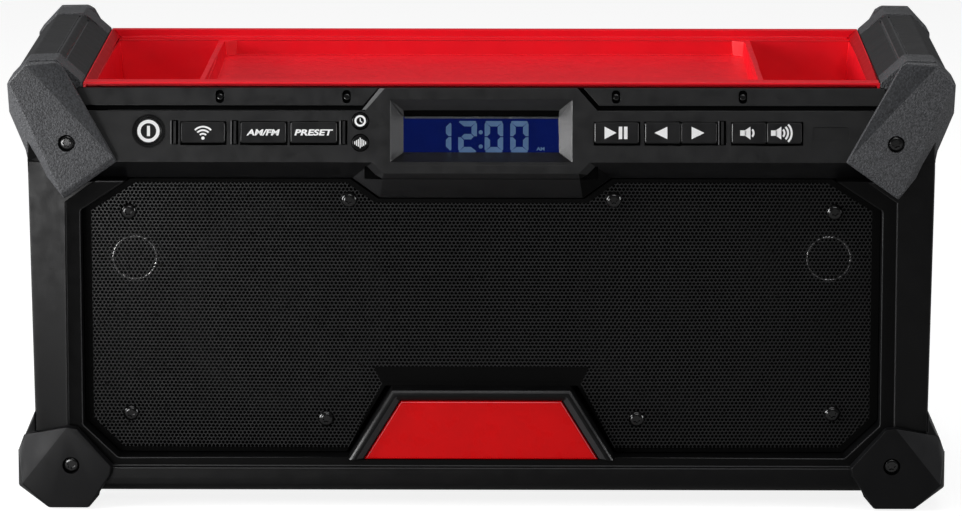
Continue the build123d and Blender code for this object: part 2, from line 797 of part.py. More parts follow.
def board_outline(grow):
    """Front view of the key board: two lobes joined by a bridge under the display."""
    inner = BOARD_INNER_HALF - grow
    leg = BOARD_INNER_HALF + BRIDGE_WIDTH + grow
    return [
        (BOARD_LEFT - grow, BOARD_HIGH + grow),
        (BOARD_LEFT - grow, BOARD_LOW - grow),
        (-leg, BOARD_LOW - grow),
        (-leg, BRIDGE_LOW - grow),
        (leg, BRIDGE_LOW - grow),
        (leg, BOARD_LOW - grow),
        (BOARD_RIGHT + grow, BOARD_LOW - grow),
        (BOARD_RIGHT + grow, BOARD_HIGH + grow),
        (inner, BOARD_HIGH + grow),
        (inner, BRIDGE_LOW + BRIDGE_WIDTH + grow),
        (-inner, BRIDGE_LOW + BRIDGE_WIDTH + grow),
        (-inner, BOARD_HIGH + grow),
    ]


def window_cut():
    """Funnel of the display window, from the face to the lens."""
    outer = [(x, z) for x in (-WINDOW_HALF, WINDOW_HALF) for z in (WINDOW_LOW, WINDOW_HIGH)]
    inner = [(x, z) for x in (-GLASS_HALF, GLASS_HALF) for z in (GLASS_LOW, GLASS_HIGH)]
    corners = [FACE.from_local_coords((x, up(z), 0)) for x, z in outer]
    corners += [FACE.from_local_coords((x, up(z), -WINDOW_DEPTH)) for x, z in inner]
    return ConvexPolyhedron(corners)


def display_slab(low, high, margin):
    """Slab behind the window, wider than the glass opening by a margin."""
    half = GLASS_HALF + margin
    outline = [(x, z) for x in (-half, half) for z in (GLASS_LOW - 1, GLASS_HIGH + 0.6)]
    outline = [outline[0], outline[1], outline[3], outline[2]]
    return face_outline(outline, low, high)


def control_fascia():
    """Leaning control panel with its key openings, window funnel and hollow back."""
    fascia = fascia_block()
    pocket = face_outline(rail_outline(1), -RAIL_THICKNESS, 1)
    fascia -= [pocket, mirrored(pocket)]
    fascia -= face_outline(board_outline(FIT), -2 * FASCIA_BACK, -FASCIA_SKIN)
    fascia -= key_openings(KEY_CLEARANCE)
    fascia -= window_cut()
    fascia -= display_slab(-2 * FASCIA_BACK, -WINDOW_DEPTH, GLASS_MARGIN + FIT)
    for x in SEPARATORS_X:
        half_x, half_z = SEPARATOR_SIZE[0] / 2, SEPARATOR_SIZE[1] / 2
        sunk = (x - half_x, x + half_x, KEY_ROW - half_z, KEY_ROW + half_z)
        fascia -= face_slot(*sunk, -SHALLOW, 1, half_x * MARK_ROUNDING)
    plate_low, plate_high = [KEY_ROW + rise for rise in BLANK_PLATE_RISE]
    fascia -= face_slot(*BLANK_PLATE_X, plate_low, plate_high, -SHALLOW, 1, KEY_CORNER)
    middle = BODY_TOP - RAIL_HEIGHT / 2
    for x in RAIL_SCREWS_X:
        bore = RAIL_SCREW_SHANK + SCREW_BORE_GAP
        hole = face_round(x, middle, bore, -RAIL_SCREW_REACH - RAIL_THICKNESS - FIT, 0)
        fascia -= [hole, mirrored(hole)]
    return fascia


def soft_front(cap):
    """Key cap with the edge of its front face broken."""
    outward = Axis(FACE.origin, FACE.z_dir)
    return chamfer(cap.faces().sort_by(outward)[-1].edges(), KEY_EDGE)


def bar_key(left, right):
    """Rectangular key with retaining lips above and below."""
    low, high = KEY_ROW - KEY_HEIGHT / 2, KEY_ROW + KEY_HEIGHT / 2
    cap = face_slot(left, right, low, high, -FASCIA_SKIN, KEY_PROUD, KEY_CORNER)
    cap = soft_front(cap)
    lip = face_outline(
        [
            (left, low - KEY_FLANGE),
            (right, low - KEY_FLANGE),
            (right, high + KEY_FLANGE),
            (left, high + KEY_FLANGE),
        ],
        -FASCIA_SKIN - KEY_FLANGE_THICKNESS,
        -FASCIA_SKIN,
    )
    return cap + lip


def round_key(x, rise, radius):
    """Round key with a retaining flange."""
    z = KEY_ROW + rise
    cap = face_round(x, z, radius, -FASCIA_SKIN, KEY_PROUD)
    cap = soft_front(cap)
    back = -FASCIA_SKIN - KEY_FLANGE_THICKNESS
    return cap + face_round(x, z, radius + KEY_FLANGE, back, -FASCIA_SKIN)


def keypad_membrane():
    """Rubber sheet of key domes behind the keys."""
    front = -FASCIA_SKIN - KEY_FLANGE_THICKNESS - KEY_TRAVEL - MEMBRANE_GAP
    return face_outline(board_outline(0), front - MEMBRANE_THICKNESS, front)


def control_board():
    """Circuit board behind the key membrane."""
    front = -FASCIA_SKIN - KEY_FLANGE_THICKNESS - KEY_TRAVEL - MEMBRANE_GAP
    front -= MEMBRANE_THICKNESS
    return face_outline(board_outline(0), front - BOARD_THICKNESS, front)


def display_lens():
    """Clear window seated behind the funnel."""
    back = -WINDOW_DEPTH - LENS_THICKNESS
    return display_slab(back, -WINDOW_DEPTH, GLASS_MARGIN)


def lcd_panel():
    """Display module behind the clear window."""
    front = -WINDOW_DEPTH - LENS_THICKNESS
    return display_slab(front - LCD_THICKNESS, front, GLASS_MARGIN)


# -------------------------------------------------------------- recess group
def grille_fields(inset, y_shift, y_back):
    """Space behind the grille's three flat fields, from their faces to one back plane."""
    crown = BODY_FRONT + GRILLE_CROWN_Y + y_shift
    edge = BODY_FRONT + GRILLE_EDGE_Y + y_shift
    half = RECESS_HALF - GRILLE_GAP - inset
    low = RECESS_BOTTOM + GRILLE_GAP + inset
    top = RECESS_TOP - GRILLE_GAP - inset
    corner = (GRILLE_CORNER - inset / 2, top)
    root = (BADGE_HALF_HIGH + BADGE_FRAME_SIDE, BADGE_HIGH + BADGE_FRAME + inset)
    side = [
        (half, crown + 0.2, top - RECESS_CORNER_TOP[1]),
        (half, edge, low + RECESS_CORNER_BOTTOM[1]),
        (half - RECESS_CORNER_BOTTOM[0], edge, low),
        (BADGE_HALF_LOW + BADGE_FRAME_SIDE + inset + GRILLE_TURN, edge - GRILLE_TURN / 3, low),
        (corner[0], crown, corner[1]),
        (root[0], crown, root[1]),
    ]
    flank = ConvexPolyhedron([*side, *[(x, y_back, z) for x, y, z in side]])
    rim = [corner, root, (-root[0], root[1]), (-corner[0], corner[1])]
    middle = ConvexPolyhedron([(x, y, z) for y in (crown, y_back) for x, z in rim])
    fields = flank + middle + mirrored(flank)
    bottom = RECESS_TOP - TONGUE_ROOT_DROP - inset - GRILLE_GAP
    root_half = TONGUE_ROOT_HALF + inset + 2 * GRILLE_GAP
    rise = RECESS_TOP + 2 - bottom
    run = rise * TONGUE_SLOPE / TONGUE_ROOT_DROP
    tongue = whole([(root_half, bottom), (root_half + run, RECESS_TOP + 2)])
    return fields - along_y(tongue, FRONT, BAFFLE_Y + 1)


def grille_face_y(x, z):
    """Depth of the grille's face at a screw: its most forward point under the head."""
    probe = grille_fields(0, 0, BAFFLE_Y) & rod_y(x, z, SCREW_HEAD, FRONT, BAFFLE_Y)
    return probe.bounding_box().min.Y


def grille():
    """Pressed sheet grille: three fields and a turned-back rim."""
    outer = grille_fields(0, 0, BAFFLE_Y)
    inner = grille_fields(GRILLE_SHEET, GRILLE_SHEET, BAFFLE_Y + 1)
    sheet = outer - inner
    for x, z in GRILLE_SCREWS:
        hole = rod_y(x, z, SCREW_SHANK + SCREW_BORE_GAP, FRONT, BAFFLE_Y)
        sheet -= [hole, mirrored(hole)]
    return sheet


def pan_screw(x, z, seat_y, y_end):
    """Pan head screw along the depth, its head's flat side on the seat."""
    crown = seat_y - SCREW_HEAD_RISE
    head = Plane.XZ.offset(-seat_y) * Pos(x, z) * Circle(SCREW_HEAD)
    screw = extrude(head, amount=SCREW_HEAD_RISE, taper=SCREW_HEAD_TAPER)
    screw -= rod_y(x, z, DRIVE_RADIUS, crown - 1, crown + DRIVE_DEPTH)
    return screw + rod_y(x, z, SCREW_SHANK, seat_y, y_end)


def grille_screws():
    """Eight pan head screws that hold the grille to the baffle."""
    end = BAFFLE_Y + BAFFLE_THICKNESS
    screws = []
    for x, z in GRILLE_SCREWS:
        screw = pan_screw(x, z, grille_face_y(x, z), end)
        screws += [screw, mirrored(screw)]
    return screws


def speaker_baffle():
    """Plate behind the recess that carries the loudspeakers and the grille's screws."""
    half = RECESS_HALF + BAFFLE_MARGIN
    low = RECESS_BOTTOM - BAFFLE_MARGIN
    high = BAFFLE_TOP
    plate = block(-half, half, BAFFLE_Y, BAFFLE_Y + BAFFLE_THICKNESS, low, high)
    basket = WOOFER_RADIUS - WOOFER_RIM + FIT
    for x in (-WOOFER_X, WOOFER_X):
        plate -= rod_y(x, WOOFER_Z, basket, FRONT, 0)
    for x in (-TWEETER_X, TWEETER_X):
        plate -= rod_y(x, TWEETER_Z, TWEETER_CUP + FIT, FRONT, 0)
    for x, z in GRILLE_SCREWS:
        hole = rod_y(x, z, SCREW_SHANK + SCREW_BORE_GAP, FRONT, 0)
        plate -= [hole, mirrored(hole)]
    return plate


def turned(profile, x, z):
    """Solid of revolution about a line along the depth; the profile is (radius, y)."""
    face = Plane.XY * Polygon(*profile)
    return Pos(x, 0, z) * revolve(face, axis=Axis.Y)


def woofer_frame():
    """Pressed basket of the right-hand woofer."""
    rim = WOOFER_RADIUS - WOOFER_RIM
    back = BAFFLE_Y + WOOFER_DEPTH
    return turned(
        [
            (rim - BASKET_WALL, BAFFLE_Y - BASKET_WALL),
            (WOOFER_RADIUS, BAFFLE_Y - BASKET_WALL),
            (WOOFER_RADIUS, BAFFLE_Y),
            (rim, BAFFLE_Y),
            (rim, BAFFLE_Y + BAFFLE_THICKNESS),
            (BASKET_BACK_RADIUS, back),
            (CONE_NECK, back),
            (CONE_NECK, back - BASKET_WALL),
            (BASKET_BACK_RADIUS - BASKET_WALL, back - BASKET_WALL),
            (rim - BASKET_WALL, BAFFLE_Y + BAFFLE_THICKNESS - BASKET_WALL),
        ],
        WOOFER_X,
        WOOFER_Z,
    )


def woofer_magnet():
    """Magnet and back plate behind the basket."""
    back = BAFFLE_Y + WOOFER_DEPTH
    core = CONE_NECK - POLE_GAP
    return turned(
        [
            (0, back - POLE_LENGTH),
            (core, back - POLE_LENGTH),
            (core, back),
            (MAGNET_RADIUS, back),
            (MAGNET_RADIUS, back + MAGNET_THICKNESS - MAGNET_EDGE),
            (MAGNET_RADIUS - MAGNET_EDGE, back + MAGNET_THICKNESS),
            (0, back + MAGNET_THICKNESS),
        ],
        WOOFER_X,
        WOOFER_Z,
    )


def woofer_cone():
    """Cone, surround roll and dust cap of the right-hand woofer."""
    rim = WOOFER_RADIUS - WOOFER_RIM - BASKET_WALL
    front = BAFFLE_Y + BASKET_WALL * 2 / 3
    back = front + CONE_PAPER
    neck = front + CONE_DEPTH
    return turned(
        [
            (0, neck - DUST_CAP_RISE),
            (DUST_CAP, neck - DUST_CAP_RISE + CONE_PAPER),
            (CONE_NECK, neck - CONE_PAPER),
            (rim - ROLL_INNER, front),
            (rim - (ROLL_INNER + ROLL_OUTER) / 2, front - ROLL_RISE),
            (rim - ROLL_OUTER, front),
            (rim, front),
            (rim, back),
            (rim - ROLL_INNER, back),
            (CONE_NECK, neck),
            (0, neck),
        ],
        WOOFER_X,
        WOOFER_Z,
    )


def tweeter():
    """Dome tweeter with its face ring and closed cup."""
    front = BAFFLE_Y - BASKET_WALL
    back = BAFFLE_Y + TWEETER_DEPTH
    return turned(
        [
            (0, front),
            (TWEETER_DOME / 2, front + DOME_SINK),
            (TWEETER_DOME, front + DOME_FOOT),
            (TWEETER_DOME + TWEETER_LIP, front),
            (TWEETER_RADIUS, front),
            (TWEETER_RADIUS, BAFFLE_Y),
            (TWEETER_CUP, BAFFLE_Y),
            (TWEETER_CUP, back),
            (0, back),
        ],
        TWEETER_X,
        TWEETER_Z,
    )


# ----------------------------------------------------------------------- tray
def tray_tub(x_low, x_high, floor, grow):
    """One tapered tub of the tray, or the space in it."""
    return tapered(
        x_low - grow,
        x_high + grow,
        TRAY_FRONT_Y - grow,
        TRAY_REAR_Y + grow,
        floor - grow,
        BODY_TOP,
        TRAY_DRAFT * (BODY_TOP - floor) / (BODY_TOP - TRAY_POCKET_FLOOR),
    )


def tray():
    """Open tray in one moulding: a shallow middle between two deep end pockets."""
    top = BODY_TOP + TRAY_RIM_HEIGHT
    rim = block(-TRAY_HALF, TRAY_HALF, -TRAY_RIM_REACH, TRAY_RIM_REACH, BODY_TOP, top)
    pocket = (TRAY_DIVIDER_X + TRAY_WALL / 2, TRAY_SIDE_X)
    middle = (TRAY_WALL / 2 - TRAY_DIVIDER_X, TRAY_DIVIDER_X - TRAY_WALL / 2)
    outer = tray_tub(*pocket, TRAY_POCKET_FLOOR, TRAY_WALL)
    body = rim + outer + mirrored(outer) + tray_tub(*middle, TRAY_FLOOR, TRAY_WALL)
    inner = tray_tub(*pocket, TRAY_POCKET_FLOOR, 0)
    body -= [inner, mirrored(inner)]
    well = tray_tub(*middle, TRAY_FLOOR, 0)
    for x in middle:
        corner = [
            (x, TRAY_REAR_Y),
            (x - TRAY_GUSSET * x / abs(x), TRAY_REAR_Y),
            (x, TRAY_REAR_Y - TRAY_GUSSET),
        ]
        gusset = Plane.XY.offset(TRAY_FLOOR) * Polygon(*corner)
        well -= extrude(gusset, amount=BODY_TOP - TRAY_FLOOR, dir=(0, 0, 1))
    body -= well
    ledge = top - TRAY_LEDGE
    ledge_y = TRAY_REAR_Y + TRAY_LEDGE_WIDTH
    body -= block(-TRAY_SIDE_X, TRAY_SIDE_X, TRAY_FRONT_Y, ledge_y, ledge, top)
    lip, root = TRAY_HALF - TRAY_LIP, TRAY_SIDE_X - TRAY_WALL / 2
    flare = along_y([(root, top), (root, top - lip + root), (lip, top)], TRAY_FRONT_Y, ledge_y)
    body -= [flare, mirrored(flare)]
    rear_top = top - TRAY_DIVIDER_DROP
    ends = (TRAY_FRONT_Y, TRAY_REAR_Y)
    wall = [(ends[0], TRAY_FLOOR), (ends[1], TRAY_FLOOR), (ends[1], rear_top), (ends[0], top)]
    half = TRAY_WALL / 2
    divider = along_x(wall, TRAY_DIVIDER_X - half, TRAY_DIVIDER_X + half)
    body += [divider, mirrored(divider)]
    over = [(ends[0], top), (ends[1], rear_top), (ends[1], top)]
    return body - along_x(over, -TRAY_SIDE_X, TRAY_SIDE_X)


# ------------------------------------------------------------ handles, bumpers
def handle():
    """Right-hand carrying bar over the hand recess, with two grip lines on top."""
    outer = HALF - HANDLE_INSET
    top = HEIGHT - HANDLE_INSET
    low = top - HANDLE_THICKNESS
    outline = [
        (outer, low + HANDLE_HEEL),
        (outer, top - HANDLE_EDGE),
        (outer - HANDLE_EDGE, top),
        (outer - HANDLE_EDGE - HANDLE_FLAT, top),
        (TRAY_HALF + FIT, BODY_TOP + TRAY_RIM_HEIGHT),
        (TRAY_HALF + FIT, BODY_TOP),
        (SHOULDER_X, BODY_TOP),
        (SHOULDER_X, low),
        (outer - HANDLE_HEEL_IN, low),
    ]
    bar = along_y(outline, -POST_END, POST_END)
    edges = [
        edge
        for edge in bar.edges().filter_by(Axis.Y)
        if edge.center().Z > BODY_TOP + TRAY_RIM_HEIGHT + FIT
        or edge.center().X > outer - HANDLE_HEEL_IN - FIT
    ]
    bar = fillet(edges, HANDLE_ROUNDING)
    for down in GRIP_GROOVES:
        x = HALF - down
        surface = handle_surface(x)
        bar -= block(
            x - GRIP_GROOVE / 2,
            x + GRIP_GROOVE / 2,
            GRIP_GROOVE_END - POST_END,
            POST_END - GRIP_GROOVE_END,
            surface - GRIP_GROOVE_DEPTH,
            HEIGHT,
        )
    return bar


def handle_surface(x):
    """Height of the bar's top: flat, then falling to the tray's rim."""
    top = HEIGHT - HANDLE_INSET
    brow = HALF - HANDLE_INSET - HANDLE_EDGE - HANDLE_FLAT
    foot = TRAY_HALF + FIT
    fall = top - BODY_TOP - TRAY_RIM_HEIGHT
    return top - fall * max(0.0, brow - x) / (brow - foot)


def corner_points(offsets):
    """(x, y, z) points from (inward, back, down) offsets off the upper right corner."""
    return [(HALF - a, FRONT + b, HEIGHT - c) for a, b, c in offsets]


def upper_bumper():
    """Front right bumper arm: a faceted rubber shoe over the post and handle end."""
    nose = corner_points(ARM_NOSE)
    nose += corner_points([(a, BUMPER_FACE + ARM_LAP, c) for a, c in ARM_SEAT])
    nose += corner_points([(a, ARM_WRAP_FROM, c) for a, c in ARM_SIDE])
    wrap = [(HALF - a, HEIGHT - c) for a, c in (*ARM_SIDE, ARM_SEAT[4], ARM_SEAT[3])]
    wrap += [
        (TRAY_HALF + FIT, BODY_TOP + TRAY_RIM_HEIGHT),
        (TRAY_HALF + FIT, BODY_TOP),
        (SHOULDER_X, BODY_TOP),
        (SHOULDER_X, SHOULDER_HEIGHT),
        (BODY_HALF, SHOULDER_HEIGHT),
    ]
    arm = along_y(wrap, FRONT + ARM_WRAP_FROM, -POST_END) + ConvexPolyhedron(nose)
    arm -= housing_block()
    arm -= tray_clearance()
    x, z = bumper_screw_places()[0]
    return screw_recess(arm, x, z)


def tray_clearance():
    """Space that the tray's rim and the top rails take up beside the bumpers."""
    top = BODY_TOP + TRAY_RIM_HEIGHT
    reach = TRAY_RIM_REACH + FIT
    return block(-TRAY_HALF - FIT, TRAY_HALF + FIT, -reach, reach, BODY_TOP, top)


def foot_bumper():
    """Front right foot: a faceted rubber shoe round the housing's bottom corner."""
    nose = [(HALF - a, FRONT, z) for a, z in FOOT_FACE]
    nose += [(HALF - a, BODY_FRONT, z) for a, z in FOOT_SEAT]
    wrap = [(HALF - a, z) for a, z in FOOT_WRAP]
    foot = along_y(wrap, BODY_FRONT, -POST_END) + ConvexPolyhedron(nose)
    foot -= housing_block()
    x, z = bumper_screw_places()[1]
    return screw_recess(foot, x, z)


def screw_recess(bumper, x, z):
    """Bumper with the sunk seat and bore of its screw."""
    seat = FRONT + BUMPER_SINK + BUMPER_HEAD_THICKNESS
    bumper -= rod_y(x, z, BUMPER_HEAD + SCREW_BORE_GAP, FRONT - 1, seat)
    end = FRONT + BUMPER_FACE + BUMPER_SHANK_LENGTH
    return bumper - rod_y(x, z, BUMPER_SHANK + SCREW_BORE_GAP, FRONT, end)


def bumper_screws():
    """Eight socket screws, one through each arm and foot."""
    screws = []
    seat = FRONT + BUMPER_SINK + BUMPER_HEAD_THICKNESS
    for x, z in bumper_screw_places():
        screw = rod_y(x, z, BUMPER_HEAD, FRONT + BUMPER_SINK, seat)
        screw -= rod_y(x, z, DRIVE_RADIUS, FRONT, FRONT + BUMPER_SINK + DRIVE_DEPTH)
        screw += rod_y(x, z, BUMPER_SHANK, seat, seat + BUMPER_SHANK_LENGTH)
        pair = [screw, mirrored(screw)]
        screws += pair + [turned_back(piece) for piece in pair]
    return screws


def case_screws():
    """Long screws, sunk in wells, that draw the two halves together."""
    screws = []
    for x, z in CASE_SCREWS:
        crown = CASE_WELL_END + CASE_HEAD_RISE
        head = rod_y(x, z, CASE_WELL - FIT, CASE_WELL_END, crown)
        head -= rod_y(x, z, DRIVE_RADIUS, crown - DRIVE_DEPTH, crown)
        end = CASE_WELL_END - CASE_SHANK_LENGTH
        screw = head + rod_y(x, z, CASE_SHANK, end, CASE_WELL_END)
        screws += [screw, mirrored(screw)]
    return screws


# --------------------------------------------------------------- battery group
def shoe_section(grow):
    """Plan view of the T-shaped shoe, or of the channel that slides on it."""
    back = -BODY_FRONT - BAY_DEPTH
    neck = SHOE_NECK_HALF + grow
    lip = back + SHOE_DEPTH - SHOE_LIP - grow
    end = back + SHOE_DEPTH + grow
    half = SHOE_HALF + grow
    return [
        (neck, back),
        (neck, lip),
        (half, lip),
        (half, end),
        (-half, end),
        (-half, lip),
        (-neck, lip),
        (-neck, back),
    ]


def battery_terminal_block():
    """Shoe on the bay's wall, with four blade terminals in slots."""
    section = Plane.XY.offset(SHOE_LOW) * Polygon(*shoe_section(0))
    shoe = extrude(section, amount=SHOE_HEIGHT, dir=(0, 0, 1))
    end = -BODY_FRONT - BAY_DEPTH + SHOE_DEPTH
    front = end - BLADE_DEPTH
    top = SHOE_LOW + BLADE_TOP
    for x in BLADES_X:
        slot, half = BLADE_SLOT / 2, BLADE_THICKNESS / 2
        shoe -= block(x - slot, x + slot, front, end, SHOE_LOW, top)
        shoe += block(
            x - half, x + half, front, end - BLADE_SHORT, SHOE_LOW + 2 * BLADE_SHORT, top
        )
    return shoe


def latch_block(grow):
    """Right-hand release button of the pack, or the pocket that it slides in."""
    y_mid = -BODY_FRONT - BAY_DEPTH + PACK_FRONT_GAP + PACK_DEPTH * LATCH_PLACE
    inner = PACK_HALF - LATCH_LENGTH - (LATCH_TRAVEL + grow if grow else 0)
    outer = PACK_HALF + LATCH_PROUD
    half_y = LATCH_WIDTH / 2 + grow
    half_z = LATCH_HEIGHT / 2 + grow
    return block(
        inner, outer, y_mid - half_y, y_mid + half_y, LATCH_Z - half_z, LATCH_Z + half_z
    )


def battery_case():
    """Generic slide-on battery pack with a channel for the shoe."""
    front = -BODY_FRONT - BAY_DEPTH + PACK_FRONT_GAP
    rear = front + PACK_DEPTH
    top = BAY_FLOOR + PACK_HEIGHT
    pack = block(-PACK_HALF, PACK_HALF, front, rear, BAY_FLOOR, top)
    pack = chamfer(pack.edges().filter_by(Axis.Z).group_by(Axis.Y)[-1], PACK_EDGE)
    rim = pack.faces().sort_by(Axis.Y)[-1].edges()
    pack = fillet(rim, PACK_EDGE / 3)
    channel_top = SHOE_LOW + SHOE_HEIGHT + 1
    section = Plane.XY.offset(BAY_FLOOR - 1) * Polygon(*shoe_section(SHOE_CLEARANCE))
    pack -= extrude(section, amount=channel_top - BAY_FLOOR + 1, dir=(0, 0, 1))
    for side in (-1, 1):
        waist = block(
            side * PACK_HALF - GRIP_LINE_DEPTH,
            side * PACK_HALF + GRIP_LINE_DEPTH,
            front + GRIP_LINE_FROM,
            front + GRIP_LINE_FROM + GRIP_LINE_WIDTH,
            BAY_FLOOR,
            top,
        )
        pack -= waist
    pocket = latch_block(LATCH_CLEARANCE)
    return pack - [pocket, mirrored(pocket)]


def battery_latch():
    """Right-hand release button."""
    latch = latch_block(0)
    return fillet(latch.faces().sort_by(Axis.X)[-1].edges(), LATCH_EDGE)


# ---------------------------------------------------------------- socket group
def port_space():
    """Well behind the flap, with the seat for the flap and its hinge barrel."""
    back = -BODY_FRONT
    left, right = PORT_X - PORT_HALF, PORT_X + PORT_HALF
    well = block(left, right, back - PORT_DEPTH, back + 1, PORT_LOW, hinge_z())
    barrel = HINGE_RADIUS + FLAP_CLEARANCE
    section = Plane.YZ.offset(left) * Pos(hinge_y(), hinge_z()) * Circle(barrel)
    return well + extrude(section, amount=right - left, dir=(1, 0, 0)) + block(
        left, right, hinge_y(), back + 1, hinge_z(), hinge_z() + barrel
    )


def hinge_y():
    """Depth of the flap's hinge line."""
    return -BODY_FRONT - HINGE_RADIUS


def hinge_z():
    """Height of the flap's hinge line."""
    return PORT_HIGH - HINGE_RADIUS - FLAP_CLEARANCE


def pin_rod(radius, engagement):
    """Round rod on the flap's hinge line."""
    reach = PORT_HALF + engagement
    section = Plane.YZ.offset(PORT_X - reach) * Pos(hinge_y(), hinge_z()) * Circle(radius)
    return extrude(section, amount=2 * reach, dir=(1, 0, 0))


def flap_hinge_pin():
    """Steel pin through the flap's barrel, held in the well's side walls."""
    return pin_rod(HINGE_PIN, PIN_ENGAGEMENT)


def port_flap():
    """Flap over the sockets, which hangs from its barrel and swings out and up."""
    back = -BODY_FRONT
    left = PORT_X - PORT_HALF + FLAP_CLEARANCE
    right = PORT_X + PORT_HALF - FLAP_CLEARANCE
    low = PORT_LOW + FLAP_CLEARANCE
    plate = block(left, right, back - FLAP_THICKNESS, back, low, hinge_z())
    pull_half = FLAP_PULL[0] / 2
    sunk = back - FLAP_THICKNESS / 2
    plate -= block(PORT_X - pull_half, PORT_X + pull_half, sunk, back, low, low + FLAP_PULL[1])
    section = Plane.YZ.offset(left) * Pos(hinge_y(), hinge_z()) * Circle(HINGE_RADIUS)
    barrel = extrude(section, amount=right - left, dir=(1, 0, 0))
    return plate + barrel - pin_rod(HINGE_PIN + HINGE_RUNNING, 1)


def socket_y():
    """Front and back planes of the sockets, from the well's floor inwards."""
    floor = -BODY_FRONT - PORT_DEPTH
    return floor - SOCKET_DEPTH, floor


def socket_bores():
    """Holes in the well's floor for the three sockets."""
    inner, floor = socket_y()
    usb_half = USB_OPENING[0] / 2 + USB_SHELL + FIT
    usb_tall = USB_OPENING[1] / 2 + USB_SHELL + FIT
    return [
        block(
            PORT_X - usb_half,
            PORT_X + usb_half,
            inner,
            floor + 1,
            SOCKET_Z - usb_tall,
            SOCKET_Z + usb_tall,
        ),
        rod_y(PORT_X - SOCKET_PITCH, SOCKET_Z, AUX_NUT + FIT, inner, floor + 1),
        rod_y(PORT_X + SOCKET_PITCH, SOCKET_Z, DC_BODY + FIT, inner, floor + 1),
    ]


def usb_socket():
    """Charging socket: a folded steel shell round a contact tongue."""
    inner, floor = socket_y()
    half_x, half_z = USB_OPENING[0] / 2, USB_OPENING[1] / 2
    x, z = PORT_X, SOCKET_Z
    shell = block(
        x - half_x - USB_SHELL,
        x + half_x + USB_SHELL,
        inner,
        floor,
        z - half_z - USB_SHELL,
        z + half_z + USB_SHELL,
    )
    shell -= block(x - half_x, x + half_x, inner + 2, floor + 1, z - half_z, z + half_z)
    tongue = block(
        x - half_x + 1, x + half_x - 1, inner, floor - 1, z, z + USB_TONGUE
    )
    return shell + tongue


def aux_jack():
    """Round audio jack."""
    inner, floor = socket_y()
    x = PORT_X - SOCKET_PITCH
    jack = rod_y(x, SOCKET_Z, AUX_NUT, inner, floor)
    return jack - rod_y(x, SOCKET_Z, AUX_RADIUS, inner + 1, floor + 1)


def dc_jack():
    """Round power inlet with its centre pin."""
    inner, floor = socket_y()
    x = PORT_X + SOCKET_PITCH
    jack = rod_y(x, SOCKET_Z, DC_BODY, inner, floor)
    jack -= rod_y(x, SOCKET_Z, DC_RADIUS, inner + 4, floor + 1)
    return jack + rod_y(x, SOCKET_Z, DC_PIN, inner, floor - 1)


def amplifier_board():
    """Amplifier and socket board behind the socket well."""
    inner, _ = socket_y()
    return block(
        PORT_X - PORT_HALF - 4,
        PORT_X + PORT_HALF + 4,
        inner - AMP_THICKNESS,
        inner,
        PORT_LOW - 30,
        PORT_HIGH,
    )


# --------------------------------------------------------------------- pieces
def pairs(name, shape):
    """A right-hand piece and its mirror image, under their two names."""
    return {f"right_{name}": shape, f"left_{name}": mirrored(shape)}


def corners(name, shape):
    """A front right piece and its three mirror images, under their four names."""
    rear = turned_back(shape)
    return {
        f"front_right_{name}": shape,
        f"front_left_{name}": mirrored(shape),
        f"rear_right_{name}": rear,
        f"rear_left_{name}": mirrored(rear),
    }


def all_pieces():
    """Every piece of the radio under its node's name."""
    pieces = {
        "front_frame": front_frame(),
        "rear_housing": rear_housing(),
        "housing_gasket": housing_gasket(),
        "control_fascia": control_fascia(),
        "rail_screws": rail_screws(),
        "display_lens": display_lens(),
        "lcd_panel": lcd_panel(),
        "keypad_membrane": keypad_membrane(),
        "control_board": control_board(),
        "grille": grille(),
        "grille_screws": grille_screws(),
        "badge_plate": badge_plate(),
        "speaker_baffle": speaker_baffle(),
        "tray": tray(),
        "bumper_screws": bumper_screws(),
        "case_screws": case_screws(),
        "battery_terminal_block": battery_terminal_block(),
        "battery_case": battery_case(),
        "port_flap": port_flap(),
        "flap_hinge_pin": flap_hinge_pin(),
        "usb_socket": usb_socket(),
        "aux_jack": aux_jack(),
        "dc_jack": dc_jack(),
        "amplifier_board": amplifier_board(),
    }
    pieces |= pairs("top_rail", top_rail())
    pieces |= pairs("handle", handle())
    pieces |= pairs("woofer_frame", woofer_frame())
    pieces |= pairs("woofer_cone", woofer_cone())
    pieces |= pairs("woofer_magnet", woofer_magnet())
    pieces |= pairs("tweeter", tweeter())
    pieces |= pairs("battery_latch", battery_latch())
    pieces |= corners("bumper", upper_bumper())
    pieces |= corners("foot", foot_bumper())
    for name, span in BAR_KEYS.items():
        pieces[name] = bar_key(*span)
    for name, place in ROUND_KEYS.items():
        pieces[name] = round_key(*place)
    return pieces


os.makedirs("parts", exist_ok=True)
for node, shape in all_pieces().items():
    solids = Compound(children=list(shape)) if isinstance(shape, list) else shape
    export_step(solids, f"parts/{node}.step")
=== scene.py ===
"""Looks of the jobsite radio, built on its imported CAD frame.

Every piece is in metres in the CAD's own frame: +X right and -Y front, seen from the front, +Z up.
Sizes in the classes are in millimetres.
"""

import json
import logging
from collections.abc import Callable, Iterator, Sequence
from contextlib import contextmanager
from dataclasses import dataclass
from enum import Enum
from math import atan2, ceil, cos, degrees, floor, hypot, pi, radians, sin

import bmesh
import bpy
from mathutils import Matrix, Vector

